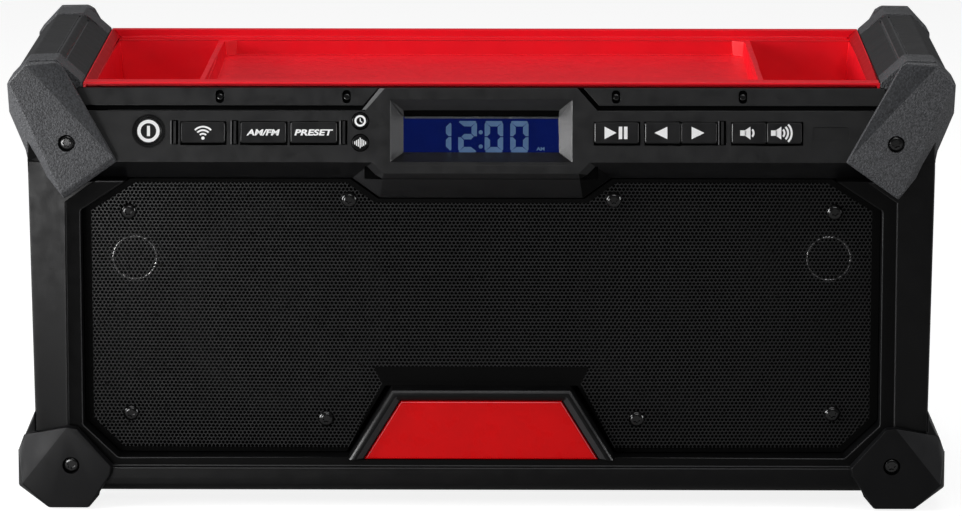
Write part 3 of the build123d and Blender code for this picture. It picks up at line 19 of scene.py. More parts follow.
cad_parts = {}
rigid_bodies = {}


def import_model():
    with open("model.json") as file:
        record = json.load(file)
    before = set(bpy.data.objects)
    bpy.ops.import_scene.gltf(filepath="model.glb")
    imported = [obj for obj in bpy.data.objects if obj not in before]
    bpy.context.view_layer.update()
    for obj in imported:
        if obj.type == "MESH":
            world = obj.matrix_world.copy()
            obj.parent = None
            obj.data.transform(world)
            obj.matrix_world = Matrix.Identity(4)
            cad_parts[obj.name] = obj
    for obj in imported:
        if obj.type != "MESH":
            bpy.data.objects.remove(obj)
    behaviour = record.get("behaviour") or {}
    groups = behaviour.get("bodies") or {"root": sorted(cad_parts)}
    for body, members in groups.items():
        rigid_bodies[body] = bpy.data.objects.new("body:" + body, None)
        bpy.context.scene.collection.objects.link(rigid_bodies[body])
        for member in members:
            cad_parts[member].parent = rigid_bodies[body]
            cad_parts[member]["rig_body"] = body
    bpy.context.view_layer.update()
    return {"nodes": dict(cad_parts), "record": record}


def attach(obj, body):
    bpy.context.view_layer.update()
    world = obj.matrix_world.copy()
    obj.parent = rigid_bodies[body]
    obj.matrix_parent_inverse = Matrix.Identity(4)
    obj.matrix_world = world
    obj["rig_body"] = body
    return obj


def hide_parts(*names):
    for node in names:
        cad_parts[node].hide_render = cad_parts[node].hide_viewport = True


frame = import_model()
LOG = logging.getLogger("radio")
MM = 0.001
NOISE_RANGE = (0.3, 0.7)
MIX_FIRST, MIX_SECOND, MIX_RESULT = 6, 7, 2
WELD = 2e-6
CLEAN_WELD = 1e-5
SAME_PLANE = 0.6

Piece = bpy.types.Object
Socket = bpy.types.NodeSocket
Layers = list[tuple[Socket, float]]
Point = tuple[float, float]
Triple = tuple[float, float, float]
Colour = Triple
Span = tuple[float, float, float, float]
Outline = Sequence[Point]
Line = Sequence[Point]
Test = Callable[[Vector, Vector], bool]
CentreTest = Callable[[Vector], bool]


class Side(Enum):
    """The two ends of the radio, seen from the front."""

    LEFT = -1
    RIGHT = 1


class End(Enum):
    """Front and rear of the radio."""

    FRONT = -1
    REAR = 1


class Axis(Enum):
    """Axis that a cutting plane faces."""

    X = (1, 0, 0)
    Y = (0, 1, 0)


Cuts = tuple[tuple[Axis, float], ...]


class Stroke(Enum):
    """Bars of a seven-bar digit, clockwise from the top, the middle one last."""

    TOP = 0
    UPPER_RIGHT = 1
    LOWER_RIGHT = 2
    BOTTOM = 3
    LOWER_LEFT = 4
    UPPER_LEFT = 5
    MIDDLE = 6


def rectangle(left: float, right: float, low: float, high: float) -> Outline:
    """Corners of an upright rectangle, anticlockwise."""
    return [(left, low), (right, low), (right, high), (left, high)]


def mirrored(outline: Outline) -> Outline:
    """The outline or line on the other side of the middle, still anticlockwise."""
    return [(-x, y) for x, y in reversed(outline)]


# ------------------------------------------------------------------ finishes
class Recipe:
    """Node tree of one material, on Object coordinates."""

    def __init__(self, name: str) -> None:
        """Start a material that holds only a Principled shader and its output."""
        self.material = bpy.data.materials.new(name)
        self.material.use_nodes = True
        self.tree = self.material.node_tree
        self.tree.nodes.clear()
        self.shader = self.node("ShaderNodeBsdfPrincipled")
        output = self.node("ShaderNodeOutputMaterial")
        self.link(self.shader.outputs["BSDF"], output, "Surface")
        self.place = self.node("ShaderNodeTexCoord").outputs["Object"]

    def node(self, kind: str, **sockets: object) -> bpy.types.Node:
        """Add a node and set its unlinked sockets.

        Args:
            kind: Blender's name of the node.
            **sockets: Values by socket name, with underscores for spaces.

        Returns:
            The new node.
        """
        made = self.tree.nodes.new(kind)
        self.fill(made, sockets)
        return made

    @staticmethod
    def fill(node: bpy.types.Node, sockets: dict[str, object]) -> None:
        """Set a node's inputs by name, with underscores for spaces."""
        for name, value in sockets.items():
            node.inputs[name.replace("_", " ")].default_value = value

    def set(self, **sockets: object) -> None:
        """Set the shader's inputs by name, with underscores for spaces."""
        self.fill(self.shader, sockets)

    def link(self, source: Socket, target: bpy.types.Node, into: str) -> None:
        """Link an output to a node's input, which goes by name."""
        self.tree.links.new(source, target.inputs[into])

    def noise(self, size: float, detail: float = 2.0, stretch: Triple = (1, 1, 1)) -> Socket:
        """Cloudy noise whose blotches are about the given size.

        Args:
            size: Size of a blotch in metres.
            detail: Number of finer octaves.
            stretch: Scale of the pattern along each axis.

        Returns:
            The noise's factor.
        """
        mapping = self.node("ShaderNodeMapping", Scale=stretch)
        self.link(self.place, mapping, "Vector")
        made = self.node("ShaderNodeTexNoise", Scale=1 / size, Detail=detail)
        self.link(mapping.outputs["Vector"], made, "Vector")
        return made.outputs["Fac"]

    def cells(self, size: float) -> Socket:
        """Rounded cells of about the given size in metres, as their distance field."""
        made = self.node("ShaderNodeTexVoronoi", Scale=1 / size)
        made.feature = "SMOOTH_F1"
        made.inputs["Smoothness"].default_value = 0.6
        self.link(self.place, made, "Vector")
        return made.outputs["Distance"]

    def spread(self, fac: Socket, low: float, high: float) -> Socket:
        """Map noise, which keeps to its middle, onto a range of plain values."""
        start, end = NOISE_RANGE
        made = self.node("ShaderNodeMapRange", From_Min=start, From_Max=end, To_Min=low, To_Max=high)
        self.link(fac, made, "Value")
        return made.outputs["Result"]

    def blend(self, fac: Socket, first: Colour, second: Colour) -> Socket:
        """Colour that goes from the first to the second with the factor."""
        made = self.node("ShaderNodeMix")
        made.data_type = "RGBA"
        made.inputs[MIX_SECOND].default_value = (*second, 1)
        made.inputs[MIX_FIRST].default_value = (*first, 1)
        self.link(fac, made, "Factor")
        return made.outputs[MIX_RESULT]

    def paint(self, source: Socket, socket: str) -> None:
        """Link a value or colour to one of the shader's sockets."""
        self.link(source, self.shader, socket)

    def relief(self, layers: Layers) -> None:
        """Stack bump layers, each a height and its depth in metres."""
        normal = None
        for height, depth in layers:
            bump = self.node("ShaderNodeBump", Strength=1.0, Distance=depth)
            self.link(height, bump, "Height")
            if normal is not None:
                self.link(normal, bump, "Normal")
            normal = bump.outputs["Normal"]
        self.paint(normal, "Normal")


def scaled(colour: Colour, factor: float) -> Colour:
    """The colour made lighter or darker by a factor, kept under 1."""
    return tuple(min(1.0, part * factor) for part in colour)


@dataclass(frozen=True)
class Finish:
    """A finish with fine grain, cloudy colour and uneven gloss."""

    name: str
    colour: Colour
    roughness: float = 0.5
    grain: float = 0.35 * MM
    depth: float = 0.02 * MM
    mottle: float = 0.1
    cloud: float = 18 * MM
    gloss_play: float = 0.06
    metallic: float = 0.0
    specular: float = 0.5

    def material(self) -> bpy.types.Material:
        """Build the finish as a Blender material."""
        recipe = Recipe(self.name)
        self.mix(recipe)
        return recipe.material

    def mix(self, recipe: Recipe) -> None:
        """Lay the colour, the gloss and the grain on the shader."""
        recipe.set(Metallic=self.metallic, Specular_IOR_Level=self.specular)
        light = scaled(self.colour, 1 + self.mottle)
        dark = scaled(self.colour, 1 - self.mottle)
        cloud = recipe.noise(self.cloud, 4)
        recipe.paint(recipe.blend(recipe.spread(cloud, 0, 1), dark, light), "Base Color")
        play = recipe.spread(
            recipe.noise(self.cloud / 3, 3),
            self.roughness - self.gloss_play,
            self.roughness + self.gloss_play,
        )
        recipe.paint(play, "Roughness")
        recipe.relief(self.grain_layers(recipe))

    def grain_layers(self, recipe: Recipe) -> Layers:
        """Spark-eroded grain: one fine noise over a coarser, fainter one."""
        return [
            (recipe.noise(self.grain * 4, 2), self.depth * 1.5),
            (recipe.noise(self.grain, 2), self.depth),
        ]


@dataclass(frozen=True)
class Pebbled(Finish):
    """Overmoulded rubber with a leathery pebble pattern."""

    pebble: float = 0.9 * MM
    pebble_shading: float = 0.4

    def mix(self, recipe: Recipe) -> None:
        """Speckle the colour light and dark at the pebbles' size, as painted highlight and painted shade
        on the pebbles.
        """
        super().mix(recipe)
        light = scaled(self.colour, 1 + self.pebble_shading)
        dark = scaled(self.colour, 1 - self.pebble_shading)
        painted_pebble_light = recipe.spread(recipe.noise(self.pebble, 1), -0.1, 1.1)
        recipe.paint(recipe.blend(painted_pebble_light, dark, light), "Base Color")

    def grain_layers(self, recipe: Recipe) -> Layers:
        """Raised pebbles with a fine grain on them."""
        return [
            (recipe.cells(self.pebble), -self.depth * 6),
            (recipe.noise(self.pebble * 0.7, 2), self.depth * 2),
            (recipe.noise(self.grain, 2), self.depth),
        ]


@dataclass(frozen=True)
class Enamel(Finish):
    """Coloured plate under a clear gloss coat."""

    coat: float = 0.6

    def mix(self, recipe: Recipe) -> None:
        """Add the clear coat to the plain finish."""
        super().mix(recipe)
        recipe.set(Coat_Weight=self.coat, Coat_Roughness=0.08)


@dataclass(frozen=True)
class Brushed(Finish):
    """Metal with fine lines along one axis."""

    lines: Triple = (1, 1, 0.04)

    def grain_layers(self, recipe: Recipe) -> Layers:
        """Lines drawn out along the axis whose scale is smallest."""
        return [(recipe.noise(self.grain, 3, self.lines), self.depth)]


@dataclass(frozen=True)
class Glow(Finish):
    """Surface that also gives light of its own colour."""

    light: Colour = (1, 1, 1)
    strength: float = 1.0

    def mix(self, recipe: Recipe) -> None:
        """Add the emission to the plain finish."""
        super().mix(recipe)
        recipe.set(Emission_Strength=self.strength)
        uneven = recipe.spread(recipe.noise(9 * MM, 2), 0, 1)
        recipe.paint(
            recipe.blend(uneven, scaled(self.light, 0.9), scaled(self.light, 1.1)), "Emission Color"
        )


@dataclass(frozen=True)
class Clear(Finish):
    """Clear plastic window."""

    def mix(self, recipe: Recipe) -> None:
        """Let light through, with faint moulding waves."""
        recipe.set(Transmission_Weight=1.0, IOR=1.3)
        tint = recipe.spread(recipe.noise(12 * MM, 2), 0, 1)
        recipe.paint(recipe.blend(tint, scaled(self.colour, 0.97), self.colour), "Base Color")
        haze = recipe.spread(recipe.noise(4 * MM, 2), self.roughness * 0.5, self.roughness)
        recipe.paint(haze, "Roughness")
        recipe.relief([(recipe.noise(16 * MM, 1), 0.002 * MM)])


BLACK = (0.0013, 0.0013, 0.0015)

HOUSING = Finish("housing_grain", BLACK, 0.38, 0.5 * MM, 0.015 * MM, 0.12, specular=0.24)
# Painted highlight: a lighter tone laid on bevels that face half to the front, and on the panel's left
# gusset.
EDGE_HIGHLIGHT = Finish("housing_edge", (0.014, 0.014, 0.015), 0.4, 0.5 * MM, 0.01 * MM, specular=0.5)
# Painted highlight: a light pink laid on the badge plate's front-facing bevels.
BADGE_EDGE_HIGHLIGHT = Finish("badge_edge", (0.75, 0.16, 0.18), 0.3, 0.8 * MM, 0.002 * MM, specular=0.4)
# Painted shade: near black on the floor of the frame's step and on the panel's right gusset.
STEP_SHADE = Finish("step_black", (0.0012, 0.0012, 0.0013), 0.6, 0.5 * MM, 0.01 * MM, specular=0.1)
FASCIA = Finish("fascia_satin", (0.0045, 0.0045, 0.005), 0.38, 0.4 * MM, 0.014 * MM, specular=0.5)
KEYS = Finish("key_satin", (0.007, 0.007, 0.0075), 0.34, 0.3 * MM, 0.006 * MM, specular=0.35)
RUBBER = Pebbled(
    "bumper_rubber", (0.052, 0.053, 0.057), 0.5, 0.4 * MM, 0.045 * MM, specular=0.5, pebble=0.8 * MM
)
# Smoother rubber at half the pebbled colour: the smoothness is real, the darker colour is painted shade
# on the inner facets.
RUBBER_SMOOTH_SHADED = Pebbled("bumper_smooth", (0.026, 0.027, 0.03), 0.5, 0.4 * MM, 0.02 * MM, specular=0.4)
FOOT_RUBBER = Finish("foot_rubber", (0.0032, 0.0032, 0.0036), 0.42, 0.5 * MM, 0.018 * MM, specular=0.19)
# Painted light: a lighter tone on the feet's facets that lean outwards and up.
FOOT_LIT = Finish("foot_edge", (0.012, 0.012, 0.013), 0.42, 0.5 * MM, 0.018 * MM, specular=0.3)
# Painted highlight: a lighter tone in the handle's two finger grooves.
GROOVE_HIGHLIGHT = Finish("handle_groove", (0.06, 0.06, 0.063), 0.4, 0.4 * MM, 0.01 * MM, specular=0.5)
HANDLE = Finish("handle_satin", (0.016, 0.016, 0.017), 0.46, 0.4 * MM, 0.012 * MM, specular=0.4)
TRAY = Finish("tray_red", (0.83, 0.005, 0.016), 0.4, 0.5 * MM, 0.012 * MM, 0.04, specular=0.3)
TRAY_SHADE = Finish("tray_shade", (0.4, 0.002, 0.006), 0.4, 0.5 * MM, 0.012 * MM, 0.04, specular=0.2)
BADGE = Enamel(
    "badge_enamel", (0.66, 0.0006, 0.002), 0.3, 0.8 * MM, 0.002 * MM, 0.04, specular=0.2, coat=0.1
)
GRILLE = Finish("grille_coat", (0.015, 0.015, 0.0155), 0.32, 0.2 * MM, 0.004 * MM, 0.03, specular=0.5)
# Painted shade: near black on the grille's plain rim and on a brow plate over the badge.
GRILLE_RIM_SHADE = Finish("grille_edge", (0.002, 0.002, 0.002), 0.6, 0.3 * MM, 0.004 * MM, specular=0.05)
# Black of the baffle, the membrane and the display's mask, and also painted shade in the panel's key gaps
# and rail grooves.
BLACK_AND_SHADE = Finish("baffle_black", (0.0012, 0.0012, 0.0013), 0.8, 0.5 * MM, 0.02 * MM, specular=0.04)
ZINC = Finish("screw_black_zinc", (0.003, 0.003, 0.003), 0.12, 0.3 * MM, 0.002 * MM, specular=0.6)
BLACK_OXIDE = Finish("screw_black_oxide", (0.002, 0.002, 0.002), 0.16, 0.3 * MM, 0.002 * MM, specular=0.8)
BRIGHT = Finish("ring_bright", (0.6, 0.6, 0.6), 0.14, 0.3 * MM, 0.002 * MM, metallic=1.0)
# Painted light: a lighter grey on the display window's downward-facing hood.
HOOD_LIGHT = Finish("bezel_satin", (0.04, 0.04, 0.041), 0.5, 0.4 * MM, 0.01 * MM, specular=0.1)
# Painted highlight: light grey strips beside the separators and at the end of the left rail.
STRIP_HIGHLIGHT = Finish("ramp_satin", (0.15, 0.15, 0.152), 0.5, 0.4 * MM, 0.01 * MM, specular=0.1)
ROUND_KEY = Finish("round_key", (0.0016, 0.0016, 0.0018), 0.34, 0.3 * MM, 0.006 * MM, specular=0.2)
INK = Finish("legend_ink", (0.88, 0.88, 0.88), 0.6, 0.3 * MM, 0.004 * MM, 0.03)
SEAL = Finish("seal_silicone", (0.03, 0.03, 0.031), 0.7, 0.5 * MM, 0.01 * MM)
LENS = Clear("lens_clear", (0.93, 0.95, 1.0), 0.03)
LCD = Glow("lcd_blue", (0.001, 0.002, 0.01), 0.6, specular=0.0, light=(0.0012, 0.005, 0.06))
DIGIT = Glow("lcd_digit", (0.02, 0.03, 0.04), 0.5, specular=0.0, light=(0.055, 0.1, 0.19))
LCD_FRAME = Finish("lcd_frame_grey", (0.05, 0.052, 0.054), 0.5, 0.3 * MM, 0.004 * MM)
BOARD = Finish("solder_mask", (0.004, 0.05, 0.02), 0.35, 0.4 * MM, 0.01 * MM, 0.2)
PAPER = Finish("speaker_paper", (0.004, 0.004, 0.004), 0.8, 0.6 * MM, 0.03 * MM, 0.2, specular=0.1)
FERRITE = Finish("magnet_ferrite", (0.03, 0.03, 0.031), 0.55, 0.6 * MM, 0.02 * MM, metallic=0.7)
PRESSED = Finish("pressed_steel", (0.003, 0.003, 0.003), 0.5, 0.4 * MM, 0.006 * MM, specular=0.06)
PACK = Finish("pack_grain", (0.007, 0.007, 0.0075), 0.45, 0.6 * MM, 0.03 * MM, 0.12, specular=0.3)
LATCH = Finish("latch_red", (0.6, 0.005, 0.013), 0.42, 0.4 * MM, 0.01 * MM, 0.05)
SOCKET = Brushed("socket_steel", (0.6, 0.6, 0.61), 0.3, 0.4 * MM, 0.005 * MM, metallic=1.0)
INSULATOR = Finish("socket_black", (0.01, 0.01, 0.011), 0.45, 0.3 * MM, 0.008 * MM, specular=0.3)

MADE: dict[str, bpy.types.Material] = {}
ALONG_X = Matrix(((0, 0, 1, 0), (1, 0, 0, 0), (0, 1, 0, 0), (0, 0, 0, 1)))


def shared(finish: Finish) -> bpy.types.Material:
    """The finish's material, made once for all the pieces that wear it."""
    if finish.name not in MADE:
        MADE[finish.name] = finish.material()
    return MADE[finish.name]


def dress(piece: Piece, finish: Finish) -> None:
    """Give a piece one finish and no other."""
    piece.data.materials.clear()
    piece.data.materials.append(shared(finish))


# ------------------------------------------------------------------ workbench
class Bench:
    """Modelling steps that the pieces share, made with Blender's own operators."""

    @staticmethod
    def pick(*objects: Piece) -> None:
        """Select only these objects, the last one active."""
        bpy.ops.object.select_all(action="DESELECT")
        for item in objects:
            item.hide_set(False)
            item.select_set(True)
            bpy.context.view_layer.objects.active = item

    @staticmethod
    @contextmanager
    def editing(piece: Piece, test: CentreTest | None = None) -> Iterator[None]:
        """Edit mode on one piece, all of it selected, or the faces whose centre passes a test."""
        if test is not None:
            Bench.choose(piece, test)
        Bench.pick(piece)
        bpy.ops.object.mode_set(mode="EDIT")
        if test is None:
            bpy.ops.mesh.select_all(action="SELECT")
        yield
        bpy.ops.object.mode_set(mode="OBJECT")

    @staticmethod
    def choose(piece: Piece, test: CentreTest) -> None:
        """Select the faces whose centre, in metres, passes a test; the piece is in object mode."""
        mesh = piece.data
        chosen = [test(face.center) for face in mesh.polygons]
        mesh.vertices.foreach_set("select", [False] * len(mesh.vertices))
        mesh.edges.foreach_set("select", [False] * len(mesh.edges))
        mesh.polygons.foreach_set("select", chosen)
        mesh.update()

    @staticmethod
    def named(name: str) -> Piece:
        """Give the active object, just added, its name."""
        piece = bpy.context.object
        piece.name = name
        piece.data.name = name
        return piece

    @staticmethod
    def add(name: str, make: Callable[..., object], **settings: object) -> Piece:
        """Add one of Blender's own shapes.

        Args:
            name: The new piece's name.
            make: The operator that adds it.
            **settings: What the operator is told, in metres.

        Returns:
            The new piece, still where and as large as the operator left it.
        """
        bpy.ops.object.select_all(action="DESELECT")
        make(**settings)
        return Bench.named(name)

    @staticmethod
    def apply_modifiers(piece: Piece) -> None:
        """Apply every modifier of a piece, from the top down."""
        Bench.pick(piece)
        for modifier in list(piece.modifiers):
            bpy.ops.object.modifier_apply(modifier=modifier.name)

    @staticmethod
    def settle(piece: Piece, place: Matrix | None = None) -> Piece:
        """Move a piece to its place and bake the place into its mesh.

        Args:
            piece: The piece, modelled about the world's origin.
            place: Where its own frame goes, or None to leave it.

        Returns:
            The same piece, its object at the origin.
        """
        if place is not None:
            piece.matrix_world = place @ piece.matrix_world
        Bench.pick(piece)
        bpy.ops.object.transform_apply(location=True, rotation=True, scale=True)
        return piece

    @staticmethod
    def copy(piece: Piece, name: str, place: Matrix | None = None) -> Piece:
        """Copy of a piece with its own mesh, moved to a place.

        Args:
            piece: The piece to copy.
            name: The copy's name.
            place: Where the copy goes, or None to leave it.

        Returns:
            The copy.
        """
        made = bpy.data.objects.new(name, piece.data.copy())
        made.data.name = name
        bpy.context.scene.collection.objects.link(made)
        return Bench.settle(made, place)

    @staticmethod
    def clean_copy(node: str, name: str, cuts: Cuts = ()) -> Piece:
        """Copy of a CAD node's mesh, with the triangles of each flat face merged.

        Args:
            node: The node's name.
            name: The copy's name.
            cuts: Planes that split large faces, each an axis and a place on it in millimetres.

        Returns:
            The copy.
        """
        piece = Bench.copy(frame["nodes"][node], name)
        Bench.pick(piece)
        if piece.data.has_custom_normals:
            bpy.ops.mesh.customdata_custom_splitnormals_clear()
        with Bench.editing(piece):
            bpy.ops.mesh.remove_doubles(threshold=WELD)
            bpy.ops.mesh.dissolve_limited(angle_limit=radians(SAME_PLANE))
            for axis, at in cuts:
                bpy.ops.mesh.select_all(action="SELECT")
                bpy.ops.mesh.bisect(plane_co=Vector(axis.value) * at * MM, plane_no=axis.value)
        return piece

    @staticmethod
    def join(name: str, pieces: list[Piece]) -> Piece:
        """One object made of several, under a new name."""
        Bench.pick(*pieces)
        if len(pieces) > 1:
            bpy.ops.object.join()
        return Bench.named(name)

    @staticmethod
    def outward(piece: Piece) -> None:
        """Merge doubles and point all faces outwards."""
        with Bench.editing(piece):
            bpy.ops.mesh.remove_doubles(threshold=1e-6)
            bpy.ops.mesh.normals_make_consistent(inside=False)

    @staticmethod
    def smooth(piece: Piece, angle: float = 32) -> None:
        """Shade smooth below an angle in degrees, and weight the normals by face area."""
        Bench.pick(piece)
        bpy.ops.object.shade_smooth_by_angle(angle=radians(angle))
        weighted = piece.modifiers.new("weighted", "WEIGHTED_NORMAL")
        weighted.keep_sharp = True
        Bench.apply_modifiers(piece)

    @staticmethod
    def cut(line: Line, clear: bool = True, fill: bool = False) -> None:
        """Cut what is selected in edit mode along an upright plane.

        Args:
            line: Two points of the plane in millimetres, in the XY plane.
            clear: Whether what lies to the line's right goes.
            fill: Whether the cut is closed.
        """
        (x, y), (next_x, next_y) = line
        bpy.ops.mesh.bisect(
            plane_co=(x * MM, y * MM, 0),
            plane_no=Vector((next_y - y, x - next_x, 0)).normalized(),
            use_fill=fill,
            clear_outer=clear,
        )

    @staticmethod
    def slab(name: str, outline: Outline, low: float, high: float) -> Piece:
        """Convex plate cut from a block, side by side; its outline runs anticlockwise.

        Args:
            name: The plate's name.
            outline: Corners of the plate in millimetres, in the XY plane.
            low: Height of its underside.
            high: Height of its top.

        Returns:
            The plate.
        """
        xs, ys = zip(*outline)
        middle = ((min(xs) + max(xs)) / 2, (min(ys) + max(ys)) / 2, (low + high) / 2)
        size = (max(xs) - min(xs), max(ys) - min(ys), high - low)
        block = Bench.add(
            name, bpy.ops.mesh.primitive_cube_add, size=MM, location=Vector(middle) * MM, scale=size
        )
        plate = Bench.settle(block)
        with Bench.editing(plate):
            for start, end in zip(outline, outline[1:] + outline[:1]):
                if start[0] == end[0] or start[1] == end[1]:
                    continue
                bpy.ops.mesh.select_all(action="SELECT")
                Bench.cut((start, end), fill=True)
        return plate

    @staticmethod
    def combine(piece: Piece, operation: str, *others: Piece) -> None:
        """Unite other solids with a piece, or cut them out of it, and drop them.

        Args:
            piece: The piece that stays.
            operation: Blender's name of the step, "UNION" or "DIFFERENCE".
            *others: The solids that go.
        """
        for other in others:
            step = piece.modifiers.new("solid", "BOOLEAN")
            step.operation = operation
            step.solver = "EXACT"
            step.object = other
        Bench.apply_modifiers(piece)
        for other in others:
            bpy.data.objects.remove(other)

    @staticmethod
    def carve(piece: Piece, *cutters: Piece) -> None:
        """Cut other solids out of a piece, and clear the cut of slivers."""
        Bench.combine(piece, "DIFFERENCE", *cutters)
        with Bench.editing(piece):
            bpy.ops.mesh.remove_doubles(threshold=CLEAN_WELD)
            bpy.ops.mesh.dissolve_degenerate(threshold=CLEAN_WELD)

    @staticmethod
    def line_with(piece: Piece, finish: Finish, test: Test) -> None:
        """Give the faces that pass a test a second finish, which becomes the piece's next one.

        Args:
            piece: The piece, already dressed.
            finish: The second finish.
            test: Function of a face's centre and normal.
        """
        piece.data.materials.append(shared(finish))
        slot = len(piece.data.materials) - 1
        for face in piece.data.polygons:
            if test(face.center, face.normal):
                face.material_index = slot

    @staticmethod
    def circle(name: str, sides: int, radius: float, filled: bool) -> Piece:
        """Circle about the origin in the XY plane, its radius in millimetres."""
        fill = "NGON" if filled else "NOTHING"
        adder = bpy.ops.mesh.primitive_circle_add
        return Bench.add(name, adder, vertices=sides, radius=radius * MM, fill_type=fill)

    @staticmethod
    def bridge(ring: Piece, sides: int, radius: float, turn: float = 0.0) -> None:
        """Add a second circle inside a ring, turned by an angle, and join the two with faces."""
        with Bench.editing(ring):
            bpy.ops.mesh.select_all(action="DESELECT")
            bpy.ops.mesh.primitive_circle_add(
                vertices=sides, radius=radius * MM, rotation=(0, 0, turn), fill_type="NOTHING"
            )
            bpy.ops.mesh.select_all(action="SELECT")
            bpy.ops.mesh.bridge_edge_loops()

    @staticmethod
    def disc(name: str, centre: Point, radius: float, height: float) -> Piece:
        """Round plate, upwards from nought, with sizes in millimetres."""
        plate = Bench.circle(name, 24, radius, filled=True)
        Bench.settle(plate, Matrix.Translation((*(Vector(centre) * MM), 0)))
        return Bench.thicken(plate, height)

    @staticmethod
    def band(
        name: str, radii: Point, height: float, span: Point = (0, 360), centre: Point = (0, 0)
    ) -> Piece:
        """Flat ring, or a sector of one that spans a multiple of five degrees.

        Args:
            name: The band's name.
            radii: Inner and outer radius in millimetres.
            height: Its thickness in millimetres, upwards from nought.
            span: Where it starts and ends, in degrees from +X, anticlockwise.
            centre: Its centre in millimetres.

        Returns:
            The band.
        """
        (inner, outer), (start, end), sides = radii, span, 72
        ring = Bench.circle(name, sides, outer, filled=False)
        Bench.bridge(ring, sides, inner)
        with Bench.editing(ring, lambda at: (degrees(atan2(at.y, at.x)) - start) % 360 > end - start):
            bpy.ops.mesh.delete(type="FACE")
        Bench.settle(ring, Matrix.Translation((centre[0] * MM, centre[1] * MM, 0)))
        return Bench.thicken(ring, height)

    @staticmethod
    def thicken(plate: Piece, height: float) -> Piece:
        """Give a flat piece in the XY plane its thickness upwards, in millimetres."""
        with Bench.editing(plate):
            bpy.ops.mesh.normals_make_consistent(inside=False)
        normal = plate.data.polygons[0].normal.z
        solidify = plate.modifiers.new("thickness", "SOLIDIFY")
        solidify.thickness = height * MM
        solidify.offset = 1 if normal > 0 else -1
        Bench.apply_modifiers(plate)
        Bench.outward(plate)
        return plate

    @staticmethod
    def lettering(name: str, words: str, size: Point, height: float, slant: float) -> Piece:
        """Words as a thin solid, stretched to a width and a height.

        Args:
            name: The piece's name.
            words: What it says.
            size: Width and height of the words in millimetres.
            height: Thickness in millimetres, upwards from nought.
            slant: Slope of the letters.

        Returns:
            The lettering, centred on the origin.
        """
        text = Bench.add(name, bpy.ops.object.text_add)
        text.data.body = words
        text.data.size = 1.0
        text.data.offset = 0.034
        text.data.shear = slant
        text.data.resolution_u = 4
        text.data.extrude = 0.5
        bpy.ops.object.convert(target="MESH")
        made = Bench.named(name)
        low, high = Bench.extent(made)
        middle = (low + high) / 2
        stretch = Matrix.Diagonal(
            (size[0] * MM / (high.x - low.x), size[1] * MM / (high.y - low.y), height * MM, 1)
        )
        lift = Matrix.Translation((0, 0, height * MM / 2))
        Bench.settle(made, lift @ stretch @ Matrix.Translation(-middle))
        Bench.outward(made)
        return made

    @staticmethod
    def mount(piece: Piece, place: Matrix, finish: Finish, node: str) -> Piece:
        """Set a plain piece in its place, dress it and let it ride with a CAD node."""
        Bench.settle(piece, place)
        Bench.outward(piece)
        dress(piece, finish)
        return Bench.hang(piece, node)

    @staticmethod
    def extent(piece: Piece) -> tuple[Vector, Vector]:
        """Lowest and highest corner of a piece's mesh."""
        points = [vertex.co for vertex in piece.data.vertices]
        low = Vector([min(point[axis] for point in points) for axis in range(3)])
        high = Vector([max(point[axis] for point in points) for axis in range(3)])
        return low, high

    @staticmethod
    def slot_of(node: str) -> str:
        """The record's material slot of a CAD node."""
        parts = frame["record"]["subparts"]
        return next(part["material_slot"] for part in parts if part["node"] == node)

    @staticmethod
    def hang(piece: Piece, node: str, replace: bool = False) -> Piece:
        """Let a piece ride with a CAD node, and take the node's place if asked.

        Args:
            piece: The finished piece.
            node: The CAD node that it belongs to.
            replace: Whether the node is hidden behind it.

        Returns:
            The same piece.
        """
        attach(piece, frame["nodes"][node]["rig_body"])
        Bench.slot_of(node)
        if replace:
            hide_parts(node)
        LOG.info("%s: %d faces", piece.name, len(piece.data.polygons))
        return piece


